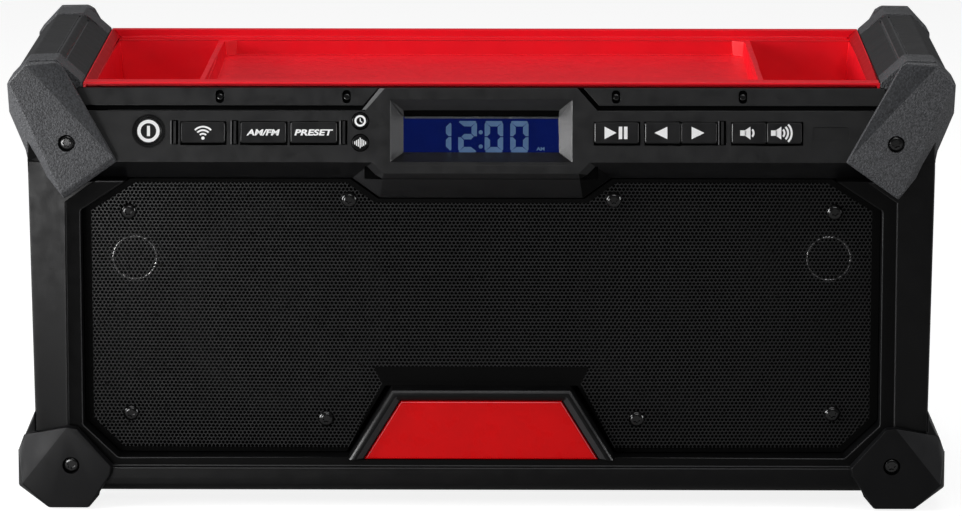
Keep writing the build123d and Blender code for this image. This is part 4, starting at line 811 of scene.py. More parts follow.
@dataclass(frozen=True)
class Skin:
    """Copy of a CAD node with its sharp edges broken, which replaces the node."""

    node: str
    finish: Finish
    width: float = 0.4
    shortest: float = 3.0
    cuts: Cuts = ()
    sharp: float = 28.0
    flat: float = 0.7
    narrow: float = 15.0

    def build(self) -> Piece:
        """Copy, clean, bevel and dress the node."""
        piece = Bench.clean_copy(self.node, f"{self.node}_skin", self.cuts)
        self.shape(piece)
        self.bevel(piece)
        dress(piece, self.finish)
        self.touch_up(piece)
        return Bench.hang(piece, self.node, replace=True)

    def shape(self, piece: Piece) -> None:
        """Nothing to alter on a plain skin."""

    def touch_up(self, piece: Piece) -> None:
        """Nothing to dress apart on a plain skin."""

    def bevel(self, piece: Piece) -> None:
        """Bevel the long sharp edges and shade the rest smooth."""
        mesh = bmesh.new()
        mesh.from_mesh(piece.data)
        weight = mesh.edges.layers.float.new("bevel_weight_edge")
        bridges = self.bridges(mesh, set(self.sharp_edges(mesh)))
        for edge in bridges:
            if edge.is_valid and edge.link_faces[0] is not edge.link_faces[1]:
                bmesh.ops.dissolve_edges(mesh, edges=[edge], use_verts=False)
        for edge in self.sharp_edges(mesh):
            edge[weight] = 1
        mesh.to_mesh(piece.data)
        mesh.free()
        bevel = piece.modifiers.new("edge", "BEVEL")
        bevel.width = self.width * MM
        bevel.segments = 2
        bevel.limit_method = "WEIGHT"
        bevel.use_clamp_overlap = False
        bevel.miter_outer = "MITER_ARC"
        Bench.apply_modifiers(piece)
        Bench.smooth(piece)

    def sharp_edges(self, mesh: bmesh.types.BMesh) -> list[bmesh.types.BMEdge]:
        """Edges that turn enough and are long enough for a bevel."""
        return [
            edge
            for edge in mesh.edges
            if len(edge.link_faces) == 2
            and edge.calc_face_angle() > radians(self.sharp)
            and edge.calc_length() > self.shortest * MM
        ]

    def bridges(
        self, mesh: bmesh.types.BMesh, sharp: set[bmesh.types.BMEdge]
    ) -> list[bmesh.types.BMEdge]:
        """Flat edges that leave a sharp edge at a narrow angle, which tear its bevel."""
        found = {}
        for edge in (edge for edge in mesh.edges if edge in sharp):
            for corner in edge.verts:
                along = edge.other_vert(corner).co - corner.co
                for other in corner.link_edges:
                    if other in sharp or len(other.link_faces) != 2:
                        continue
                    if other.calc_face_angle() > radians(self.flat):
                        continue
                    away = other.other_vert(corner).co - corner.co
                    if along.angle(away, pi) < radians(self.narrow):
                        found[other] = True
        return list(found)


# --------------------------------------------------------------------- studio
@dataclass(frozen=True)
class Softbox:
    """Rectangular lamp: its place and aim in metres, its size and its power in watts."""

    name: str
    at: Triple
    aim: Triple
    size: Point
    power: float


SOFTBOXES = (
    Softbox("side", (-1.4, -0.25, 0.3), (-0.1, -0.08, 0.1), (0.4, 0.55), 21.0),
    Softbox("key", (-1.25, -0.75, 0.62), (-0.05, -0.05, 0.1), (0.45, 0.55), 8.0),
    Softbox("overhead", (0.0, -0.35, 1.45), (0, -0.05, 0.12), (1.3, 0.7), 6.0),
    Softbox("crest", (0.0, 0.6, 1.3), (0, 0, 0.12), (1.2, 0.5), 5.0),
    Softbox("front", (0.25, -2.3, 1.5), (0, 0, 0.1), (1.1, 0.7), 6.5),
    Softbox("right", (1.3, -0.4, 0.3), (0.1, -0.05, 0.1), (0.4, 0.55), 6.3),
    Softbox("card", (-0.38, -0.72, 0.07), (-0.19, -0.09, 0.1), (0.22, 0.13), 1.2),
)


@dataclass
class Studio:
    """Camera, softboxes, floor and backdrop."""

    target: Triple = (-0.00003, -0.0925, 0.11108)
    pitch: float = 0.1835
    yaw: float = 0.009
    distance: float = 2.3085
    focal_px: float = 5384.2
    frame_px: Point = (962, 516)
    sensor: float = 36.0
    clip: Point = (0.05, 60)
    floor_half: float = 6.0
    room: float = 0.03
    gloss: float = 0.07
    floor_glow: float = 0.86
    floor_tone: float = 0.3

    def camera(self) -> None:
        """Place the camera and make it the scene's."""
        back = Vector(
            (sin(self.yaw) * cos(self.pitch), -cos(self.yaw) * cos(self.pitch), sin(self.pitch))
        )
        data = bpy.data.cameras.new("camera")
        data.sensor_width = self.sensor
        data.lens = self.focal_px * self.sensor / self.frame_px[0]
        data.clip_start, data.clip_end = self.clip
        camera = bpy.data.objects.new("camera", data)
        bpy.context.scene.collection.objects.link(camera)
        camera.location = Vector(self.target) + back * self.distance
        camera.rotation_euler = (-back).to_track_quat("-Z", "Y").to_euler()
        bpy.context.scene.camera = camera

    def lamps(self) -> None:
        """Hang every softbox."""
        for softbox in SOFTBOXES:
            data = bpy.data.lights.new(softbox.name, "AREA")
            data.shape = "RECTANGLE"
            data.size, data.size_y = softbox.size
            data.energy = softbox.power
            lamp = bpy.data.objects.new(softbox.name, data)
            bpy.context.scene.collection.objects.link(lamp)
            lamp.location = softbox.at
            towards = Vector(softbox.aim) - Vector(softbox.at)
            lamp.rotation_euler = towards.to_track_quat("-Z", "Y").to_euler()

    def seen(self, tree: bpy.types.NodeTree) -> Socket:
        """One for camera and transmission rays, a smaller share for glossy ones, else nought."""
        path = tree.nodes.new("ShaderNodeLightPath")
        share = tree.nodes.new("ShaderNodeMath")
        share.operation = "MULTIPLY"
        share.inputs[1].default_value = self.gloss
        tree.links.new(path.outputs["Is Glossy Ray"], share.inputs[0])
        for ray in ("Is Camera Ray", "Is Transmission Ray"):
            either = tree.nodes.new("ShaderNodeMath")
            either.operation = "MAXIMUM"
            tree.links.new(share.outputs[0], either.inputs[0])
            tree.links.new(path.outputs[ray], either.inputs[1])
            share = either
        return share.outputs[0]

    def world(self) -> None:
        """Dim room behind a white backdrop."""
        world = bpy.data.worlds.new("room")
        bpy.context.scene.world = world
        world.use_nodes = True
        tree = world.node_tree
        tree.nodes.clear()
        room = tree.nodes.new("ShaderNodeBackground")
        room.inputs["Color"].default_value = (0.92, 0.96, 1.0, 1)
        room.inputs["Strength"].default_value = self.room
        white = tree.nodes.new("ShaderNodeBackground")
        mix = tree.nodes.new("ShaderNodeMixShader")
        output = tree.nodes.new("ShaderNodeOutputWorld")
        tree.links.new(self.seen(tree), mix.inputs["Fac"])
        tree.links.new(room.outputs[0], mix.inputs[1])
        tree.links.new(white.outputs[0], mix.inputs[2])
        tree.links.new(mix.outputs[0], output.inputs["Surface"])

    def floor(self) -> None:
        """Grey floor that the camera sees as white, with the radio's soft shadow on it."""
        ground = Bench.add("floor", bpy.ops.mesh.primitive_plane_add, size=2 * self.floor_half)
        recipe = Recipe("floor_white")
        tone = self.floor_tone
        recipe.set(Base_Color=(tone, tone, tone, 1), Emission_Color=(1, 1, 1, 1))
        recipe.set(Roughness=0.9, Specular_IOR_Level=0.0)
        glow = recipe.node("ShaderNodeMath")
        glow.operation = "MULTIPLY"
        glow.inputs[1].default_value = self.floor_glow
        recipe.tree.links.new(self.seen(recipe.tree), glow.inputs[0])
        recipe.paint(glow.outputs[0], "Emission Strength")
        ground.data.materials.append(recipe.material)

    def build(self) -> None:
        """Set the whole stage."""
        self.camera()
        self.world()
        self.lamps()
        self.floor()
        bpy.context.scene.view_settings.view_transform = "Standard"


@dataclass(frozen=True)
class EdgedSkin(Skin):
    """Skin whose broken front edges carry a painted highlight, a lighter finish."""

    edge: Finish = EDGE_HIGHLIGHT
    forward: Point = (-0.95, -0.6)
    down: float = -0.3

    def touch_up(self, piece: Piece) -> None:
        """Dress the bevels that look half to the front with the painted highlight."""
        most, least = self.forward
        Bench.line_with(
            piece, self.edge, lambda at, normal: most < normal.y < least and normal.z > self.down
        )


@dataclass(frozen=True)
class FrameSkin(EdgedSkin):
    """Front frame whose side columns fall back a little towards their outer edges."""

    inner: float = 178.4
    outer: float = 196.0
    heights: Point = (8, 152)
    face: float = -88.0
    fall: float = 1.9
    step: float = -86.0

    def shape(self, piece: Piece) -> None:
        """Plane the two columns' faces with a wedge each."""
        for side in Side:
            corners = [
                (self.inner, self.face - 1),
                (self.outer, self.face - 1),
                (self.outer, self.face + self.fall),
                (self.inner, self.face),
            ]
            if side is Side.LEFT:
                corners = mirrored(corners)
            Bench.carve(piece, Bench.slab("wedge", corners, *self.heights))

    def touch_up(self, piece: Piece) -> None:
        """Lay a painted highlight on the front edges and painted shade, near black, on the floor of the
        step round the recess.
        """
        super().touch_up(piece)
        Bench.line_with(
            piece, STEP_SHADE, lambda at, normal: abs(at.y / MM - self.step) < 0.2 and normal.y < -0.95
        )


@dataclass(frozen=True)
class BumperSkin(Skin):
    """Overmoulded corner whose inner facets are smoother than its pebbled face and darker, as painted
    shade.
    """

    lean: Triple = (0.187, 0.967, 0.174)
    near: float = 7.0

    def touch_up(self, piece: Piece) -> None:
        """Dress the facets that lean inwards with the smooth rubber, whose darker colour is painted
        shade.
        """
        inward, out, up = self.lean

        def leans(centre: Vector, normal: Vector) -> bool:
            facet = Vector((-inward if centre.x > 0 else inward, out if centre.y > 0 else -out, up))
            return normal.length > 0 and normal.angle(facet) < radians(self.near)

        Bench.line_with(piece, RUBBER_SMOOTH_SHADED, leans)


@dataclass(frozen=True)
class FootSkin(Skin):
    """Foot whose outer facets carry painted light, a lighter tone."""

    def touch_up(self, piece: Piece) -> None:
        """Dress the facets that lean outwards and up with the painted light."""

        def leans(centre: Vector, normal: Vector) -> bool:
            outward = normal.x if centre.x > 0 else -normal.x
            return abs(normal.y) > 0.5 and outward > 0.12 and normal.z > -0.05

        Bench.line_with(piece, FOOT_LIT, leans)


@dataclass(frozen=True)
class HandleSkin(Skin):
    """Handle with two finger grooves along its top, dressed with a painted highlight."""

    grooves: Point = (183.5, 179.7)
    groove_half: float = 0.7
    groove_foot: float = 191.3

    def touch_up(self, piece: Piece) -> None:
        """Dress the grooves with a painted highlight, a lighter finish."""

        def in_groove(centre: Vector, normal: Vector) -> bool:
            beside = min(abs(abs(centre.x) / MM - at) for at in self.grooves)
            return beside < self.groove_half and centre.z / MM > self.groove_foot and abs(normal.y) < 0.5

        Bench.line_with(piece, GROOVE_HIGHLIGHT, in_groove)


@dataclass(frozen=True)
class TraySkin(Skin):
    """Tray with an undercut front lip and shaded end flares."""

    front: float = -82.0
    lip_low: float = 183.3
    lip_cut: Point = (2.6, 1.3)
    lip_half: float = 169.5
    flare: float = 165.5

    def shape(self, piece: Piece) -> None:
        """Undercut the front lip."""
        back, rise = self.lip_cut
        section = rectangle(
            self.front - 1, self.front + back, self.lip_low - 1, self.lip_low + rise
        )
        lip = Bench.slab("lip", section, -self.lip_half, self.lip_half)
        Bench.carve(piece, Bench.settle(lip, ALONG_X))

    def touch_up(self, piece: Piece) -> None:
        """Shade the flares at the tray's ends."""

        def flared(centre: Vector, normal: Vector) -> bool:
            return abs(centre.x) / MM > self.flare and abs(normal.x) > 0.3 and normal.z > 0.3

        Bench.line_with(piece, TRAY_SHADE, flared)


# ------------------------------------------------------------- the front panel
@dataclass(frozen=True)
class Panel:
    """The control panel's leaning face, on which the keys' signs are laid out."""

    front: float = -88.0
    foot: float = 151.9
    lean: float = 4.0
    lean_height: float = 22.5

    def angle(self) -> float:
        """Lean of the face in radians."""
        return atan2(self.lean, self.lean_height)

    def up(self, z: float) -> float:
        """Distance up the face to a height, in millimetres."""
        return (z - self.foot) / cos(self.angle())

    def place(self, x: float = 0.0, rise: float = 0.0, proud: float = 0.0) -> Matrix:
        """Frame on the face: X to the right, Y up the face and Z outwards.

        Args:
            x: Distance to the right of the middle in millimetres.
            rise: Distance up the face in millimetres.
            proud: Height over the face in millimetres.

        Returns:
            The frame, in metres.
        """
        origin = Matrix.Translation((0, self.front * MM, self.foot * MM))
        tilt = Matrix.Rotation(pi / 2 - self.angle(), 4, "X")
        return origin @ tilt @ Matrix.Translation((x * MM, rise * MM, proud * MM))

    def section(self) -> Matrix:
        """Frame whose Y axis runs into the face and whose Z axis runs up it."""
        return self.place() @ Matrix.Rotation(-pi / 2, 4, "X")


PANEL = Panel()


@dataclass(frozen=True)
class FasciaSkin(Skin):
    """Control panel with deep gaps round its keys and a taller display window."""

    keys: tuple[Point, ...] = (
        (-128.5, -109.8),
        (-103.0, -83.7),
        (-81.6, -61.8),
        (48.6, 67.4),
        (70.2, 85.3),
        (85.6, 100.8),
        (107.3, 122.0),
        (122.3, 137.1),
    )
    rounds: tuple[Triple, ...] = (
        (-142.5, 0.5, 5.6),
        (-51.8, 4.9, 3.4),
        (-51.8, -4.4, 3.4),
    )
    separators: tuple[float, ...] = (-131.4, -105.6, -58.9, 103.2)
    row: float = 164.4
    half_height: float = 4.4
    round_gap: float = 0.45
    key_gap: Span = (-0.3, 0.7, -1.0, 0.3)
    separator_gap: Span = (-1.2, 1.6, -5.2, 5.2)
    gap_deep: float = 1.3
    window_half: Point = (39.0, 33.28)
    window_top: Point = (178.3, 174.0)
    window_foot: float = 160.0
    window_deep: float = 7.0
    border_low: float = 171.0
    groove_low: float = 173.6
    groove_start: float = 44.0
    row_reach: Point = (140.0, 10.0)
    surface: float = -0.35
    hood_half: float = 36.0
    hood_heights: Point = (173.0, 178.6)
    hood_depths: Point = (-6.9, -0.2)
    gusset_reach: Point = (40.0, 58.0)
    gusset_heights: Point = (141.0, 147.0)

    def shape(self, piece: Piece) -> None:
        """Sink the gaps round the keys and raise the window's upper slope."""
        rise = PANEL.up(self.row)
        half = self.half_height
        spans = [(left, right, rise - half, rise + half) for left, right in self.keys]
        wells = [self.well(span, self.key_gap) for span in spans]
        wells += [self.well((x, x, rise, rise), self.separator_gap) for x in self.separators]
        for x, up, radius in self.rounds:
            well = Bench.add(
                "well",
                bpy.ops.mesh.primitive_cylinder_add,
                vertices=40,
                radius=(radius + self.round_gap) * MM,
                depth=2 * self.gap_deep * MM,
            )
            wells.append(Bench.settle(well, PANEL.place(x, rise + up)))
        Bench.carve(piece, *wells)
        Bench.carve(piece, self.funnel())

    def well(self, span: Span, gap: Span) -> Piece:
        """Block that sinks one span of the face, from left to right and low to high, with its gap."""
        outline = rectangle(*(edge + more for edge, more in zip(span, gap)))
        return Bench.settle(Bench.slab("well", outline, -self.gap_deep, 1), PANEL.place())

    def funnel(self) -> Piece:
        """Tapered block of the display window, from before the face down to the glass."""
        near, far = self.window_half
        top, glass_top = (PANEL.up(z) for z in self.window_top)
        run = (near - far) / self.window_deep
        outline = [
            (-near - run, -1),
            (near + run, -1),
            (far, self.window_deep),
            (-far, self.window_deep),
        ]
        block = Bench.slab("funnel", outline, PANEL.up(self.window_foot), top + 2)
        with Bench.editing(block):
            bpy.ops.mesh.bisect(
                plane_co=(0, 0, top * MM),
                plane_no=Vector((0, top - glass_top, self.window_deep)).normalized(),
                use_fill=True,
                clear_outer=True,
            )
        return Bench.settle(block, PANEL.section())

    def touch_up(self, piece: Piece) -> None:
        """Lay painted shade on the floors and walls of the gaps and on the rails' grooves, and black on
        the glass's border. Also painted light on the hood over the glass, painted shade on the right
        gusset and a painted highlight on the left one.
        """
        inverse = PANEL.place().inverted()

        def hidden(centre: Vector, normal: Vector) -> bool:
            x, rise, proud = inverse @ centre / MM
            if abs(x) < self.window_half[0]:
                return abs(proud + self.window_deep) < 0.1 and rise > PANEL.up(self.border_low)
            across, along = self.row_reach
            in_row = abs(rise - PANEL.up(self.row)) < along and abs(x) < across
            sunk = -self.gap_deep - 0.1 < proud < self.surface
            beside = abs(x) > self.groove_start and rise > PANEL.up(self.groove_low) - 0.3
            return (sunk and in_row) or (beside and proud < self.surface and normal.z < 0.5)

        def lit_hood(centre: Vector, _: Vector) -> bool:
            x, rise, proud = inverse @ centre / MM
            low, high = (PANEL.up(z) for z in self.hood_heights)
            deep, shallow = self.hood_depths
            return abs(x) < self.hood_half and low < rise < high and deep < proud < shallow

        def gusset(centre: Vector, normal: Vector) -> bool:
            x, z = centre.x / MM, centre.z / MM
            (near, far), (low, high) = self.gusset_reach, self.gusset_heights
            aslant = abs(normal.x) > 0.3 and normal.y < -0.6
            return near < abs(x) < far and low < z < high and aslant

        # Painted shade in the gaps and grooves, black on the glass's border, painted light on the hood,
        # painted shade on the right gusset, painted highlight on the left one.
        Bench.line_with(piece, BLACK_AND_SHADE, hidden)
        Bench.line_with(piece, HOOD_LIGHT, lit_hood)
        Bench.line_with(piece, STEP_SHADE, lambda at, normal: gusset(at, normal) and at.x > 0)
        Bench.line_with(piece, EDGE_HIGHLIGHT, lambda at, normal: gusset(at, normal) and at.x < 0)


@dataclass
class FasciaTrim:
    """Ribs beside the keys with light lips as painted highlights, the collar of the power key and the
    left rail's end ramp, a light strip as painted highlight.
    """

    skin: FasciaSkin = FasciaSkin("control_fascia", FASCIA)
    lip: Span = (-1.75, -1.35, -5.0, 5.0)
    lip_depths: Point = (-0.5, 0.25)
    rib: Span = (-0.5, 0.6, -4.9, 4.9)
    rib_depths: Point = (-1.4, 0.1)
    collar: Point = (6.25, 7.1)
    collar_height: float = 0.5
    ramp: Outline = ((-51.0, 174.0), (-48.2, 174.0), (-40.8, 183.1), (-43.6, 183.1))
    ramp_depths: Point = (-1.9, -0.2)

    def strips(self, name: str, box: Span, depths: Point) -> Piece:
        """One upright strip at each separator.

        Args:
            name: The name of the joined strips.
            box: Left, right, bottom and top of a strip about its separator's middle.
            depths: Heights over the face of its back and its front.

        Returns:
            The joined strips.
        """
        left, right, bottom, top = box
        rise = PANEL.up(self.skin.row)
        outlines = [
            rectangle(x + left, x + right, rise + bottom, rise + top) for x in self.skin.separators
        ]
        return Bench.join(name, [Bench.slab("strip", outline, *depths) for outline in outlines])

    def build(self) -> None:
        """Lay the trims on the panel."""
        x, up, _ = self.skin.rounds[0]
        centre = (x, PANEL.up(self.skin.row) + up)
        ramp = [(across, PANEL.up(z)) for across, z in self.ramp]
        for piece, finish in (
            (self.strips("separator_lips", self.lip, self.lip_depths), STRIP_HIGHLIGHT),
            (self.strips("separator_ribs", self.rib, self.rib_depths), FASCIA),
            (Bench.band("power_collar", self.collar, self.collar_height, centre=centre), ROUND_KEY),
            (Bench.slab("rail_ramp", ramp, *self.ramp_depths), STRIP_HIGHLIGHT),
        ):
            Bench.mount(piece, PANEL.place(), finish, "control_fascia")


@dataclass
class Sign:
    """White sign printed on one key."""

    node: str
    x: float
    z: float = 164.4
    proud: float = 0.9
    film: float = 0.05

    def shapes(self) -> list[Piece]:
        """Thin solids of the sign, about the origin."""
        raise NotImplementedError

    def bar(self, x: float, y: float, width: float, height: float) -> Piece:
        """Upright bar about a middle point."""
        half_x, half_y = width / 2, height / 2
        return self.plate(rectangle(x - half_x, x + half_x, y - half_y, y + half_y))

    def plate(self, outline: Outline) -> Piece:
        """Thin plate of a convex outline."""
        return Bench.slab("plate", outline, 0, self.film)

    def build(self) -> Piece:
        """Print the sign on its key."""
        piece = Bench.join(f"{self.node}_sign", self.shapes())
        place = PANEL.place(self.x, PANEL.up(self.z), self.proud)
        return Bench.mount(piece, place, INK, self.node)


@dataclass
class PowerSign(Sign):
    """Bar in a ring."""

    def shapes(self) -> list[Piece]:
        """Ring with an upright bar in it."""
        return [Bench.band("ring", (3.35, 4.8), self.film), self.bar(0, 0, 1.3, 4.4)]


@dataclass
class WavesSign(Sign):
    """Dot with three arcs over it."""

    def shapes(self) -> list[Piece]:
        """Dot and arcs, each arc wider than the last."""
        foot = (0.0, -2.5)
        dot = Bench.disc("dot", foot, 0.7, self.film)
        arcs = [
            Bench.band("arc", (radius, radius + 0.75), self.film, (45, 135), foot)
            for radius in (1.5, 3.0, 4.5)
        ]
        return [dot, *arcs]


@dataclass
class WordSign(Sign):
    """Short word in slanted capitals."""

    words: str = "AM"
    size: Point = (14.4, 2.7)
    slant: float = 0.2

    def shapes(self) -> list[Piece]:
        """The word."""
        return [Bench.lettering("word", self.words, self.size, self.film, self.slant)]


@dataclass
class ClockSign(Sign):
    """Clock face with two hands."""

    def shapes(self) -> list[Piece]:
        """Ring with an upright hand and one that points down to the right."""
        slanted = [(-0.15, -0.2), (0.75, -0.85), (0.98, -0.52), (0.1, 0.15)]
        ring = Bench.band("ring", (1.6, 2.45), self.film)
        return [ring, self.bar(0, 0.45, 0.42, 1.3), self.plate(slanted)]


@dataclass
class BarsSign(Sign):
    """Seven bars that rise and fall."""

    pitch: float = 0.76

    def shapes(self) -> list[Piece]:
        """Bars, the middle one tallest."""
        heights = (1.3, 2.4, 3.2, 4.5, 3.2, 2.4, 1.3)
        return [
            self.bar((step - 3) * self.pitch, 0, 0.44, height) for step, height in enumerate(heights)
        ]


@dataclass
class PlaySign(Sign):
    """Play triangle with two pause bars."""

    def shapes(self) -> list[Piece]:
        """Triangle and bars."""
        triangle = self.plate([(-4.9, -2.65), (0.2, 0), (-4.9, 2.65)])
        return [triangle, self.bar(1.9, 0, 1.5, 5.3), self.bar(4.15, 0, 1.5, 5.3)]


@dataclass
class ArrowSign(Sign):
    """Triangle that points to one side."""

    side: Side = Side.RIGHT

    def shapes(self) -> list[Piece]:
        """The triangle, its corners anticlockwise."""
        turn = self.side.value
        corners = [(-2.75 * turn, -2.65 * turn), (2.75 * turn, 0), (-2.75 * turn, 2.65 * turn)]
        return [self.plate(corners)]


@dataclass
class SpeakerSign(Sign):
    """Loudspeaker with sound waves."""

    waves: int = 1

    def shapes(self) -> list[Piece]:
        """Box, horn and the waves in front of it."""
        left = -3.2 if self.waves == 1 else -4.9
        box = self.bar(left + 1.3, 0, 2.6, 2.3)
        back, mouth = left + 2.0, left + 4.4
        horn = self.plate([(back, -1.1), (mouth, -2.75), (mouth, 2.75), (back, 1.1)])
        centre = (left + 3.6, 0.0)
        arcs = [
            Bench.band("wave", (1.7 + 1.55 * step, 2.55 + 1.55 * step), self.film, (-45, 45), centre)
            for step in range(self.waves)
        ]
        return [box, horn, *arcs]


SIGNS: list[Sign] = [
    PowerSign("power_button", -142.5, 164.9),
    WavesSign("wireless_button", -119.15),
    WordSign("band_button", -93.4, words="AM/FM", size=(14.4, 2.7)),
    WordSign("preset_button", -71.7, words="PRESET", size=(16.6, 2.7)),
    ClockSign("clock_button", -51.8, 169.3),
    BarsSign("equalizer_button", -51.8, 160.0),
    PlaySign("play_pause_button", 57.7),
    ArrowSign("previous_button", 76.9, side=Side.LEFT),
    ArrowSign("next_button", 92.8, side=Side.RIGHT),
    SpeakerSign("volume_down_button", 114.0, waves=1),
    SpeakerSign("volume_up_button", 128.9, waves=3),
]


@dataclass
class Display:
    """Lit display: seven-bar digits and the module's frame, behind the clear window."""

    sunk: float = 8.5
    film: float = 0.08
    stroke: float = 2.35
    gap: float = 0.22
    foot: float = 4.35
    height: float = 13.5
    digits: tuple[tuple[float, float, str], ...] = (
        (-20.9, 8.0, "one"),
        (-9.95, 8.05, "two"),
        (1.4, 7.95, "nought"),
        (12.4, 7.85, "nought"),
    )
    colon: tuple[Point, ...] = ((-0.27, 13.0), (-0.27, 6.9))
    colon_radius: float = 0.92
    morning: Point = (25.4, 5.95)
    frame: Span = (-33.0, 33.0, 18.9, 19.95)
    slope_half: float = 39.2
    sill: Outline = ((0.04, 150.7), (7.02, 150.7), (7.02, 156.2), (0.04, 152.0))
    hood: Outline = ((7.0, 174.0), (8.4, 174.0), (8.4, 177.0), (1.2, 179.6), (0.1, 178.3))
    mask: Span = (7.05, 8.3, 171.3, 175.0)

    LIT = {
        "one": (Stroke.UPPER_RIGHT, Stroke.LOWER_RIGHT),
        "two": (Stroke.TOP, Stroke.UPPER_RIGHT, Stroke.MIDDLE, Stroke.LOWER_LEFT, Stroke.BOTTOM),
        "nought": tuple(stroke for stroke in Stroke if stroke is not Stroke.MIDDLE),
    }

    def outline(self, stroke: Stroke, width: float) -> Outline:
        """Corners of one bar of a digit whose lower left corner is the origin."""
        gap, thick, tall = self.gap, self.stroke, self.height
        half, mid, nick = thick / 2, tall / 2, 0.5
        if stroke in (Stroke.TOP, Stroke.BOTTOM):
            flat = [
                (gap + nick, tall),
                (gap, tall - nick),
                (thick + gap, tall - thick),
                (width - thick - gap, tall - thick),
                (width - gap, tall - nick),
                (width - gap - nick, tall),
            ]
            return flat if stroke is Stroke.TOP else [(x, tall - y) for x, y in reversed(flat)]
        if stroke is Stroke.MIDDLE:
            return [
                (half + gap, mid),
                (thick + gap, mid - half),
                (width - thick - gap, mid - half),
                (width - half - gap, mid),
                (width - thick - gap, mid + half),
                (thick + gap, mid + half),
            ]
        side = [
            (0, mid + gap),
            (half, mid + gap),
            (thick, mid + half + gap),
            (thick, tall - thick - gap),
            (nick, tall - nick - gap),
            (0, tall - 2 * nick - gap),
        ]
        if stroke in (Stroke.LOWER_LEFT, Stroke.LOWER_RIGHT):
            side = [(x, tall - y) for x, y in reversed(side)]
        if stroke in (Stroke.UPPER_RIGHT, Stroke.LOWER_RIGHT):
            side = [(width + x, y) for x, y in mirrored(side)]
        return side

    def build(self) -> None:
        """Light the digits and fit the module's frame."""
        strokes = []
        for left, width, name in self.digits:
            for stroke in self.LIT[name]:
                corners = [(left + x, self.foot + y) for x, y in self.outline(stroke, width)]
                strokes.append(Bench.slab("stroke", corners, 0, self.film))
        strokes += [Bench.disc("dot", at, self.colon_radius, self.film) for at in self.colon]
        morning = Bench.lettering("morning", "AM", (3.5, 1.5), self.film, 0.0)
        strokes.append(Bench.settle(morning, Matrix.Translation((*(Vector(self.morning) * MM), 0))))
        digits = Bench.join("display_digits", strokes)
        border = Bench.slab("display_frame", rectangle(*self.frame), 0, 4 * self.film)
        for piece, finish in ((digits, DIGIT), (border, LCD_FRAME)):
            Bench.mount(piece, PANEL.place(proud=-self.sunk), finish, "lcd_panel")
        self.add_slope("display_sill", self.sill, FASCIA)
        # The hood over the glass gets a lighter grey: painted light.
        self.add_slope("display_hood", self.hood, HOOD_LIGHT)
        self.add_slope("display_mask", rectangle(*self.mask), BLACK_AND_SHADE)

    def add_slope(self, name: str, section: Outline, finish: Finish) -> None:
        """Strip across the window.

        Args:
            name: The strip's name.
            section: Its corners, each a depth under the face and a height, in millimetres.
            finish: What it is dressed with.
        """
        corners = [(sunk, PANEL.up(z)) for sunk, z in section]
        strip = Bench.settle(Bench.slab(name, corners, -self.slope_half, self.slope_half), ALONG_X)
        Bench.settle(strip, PANEL.section())
        dress(strip, finish)
        Bench.hang(strip, "control_fascia")


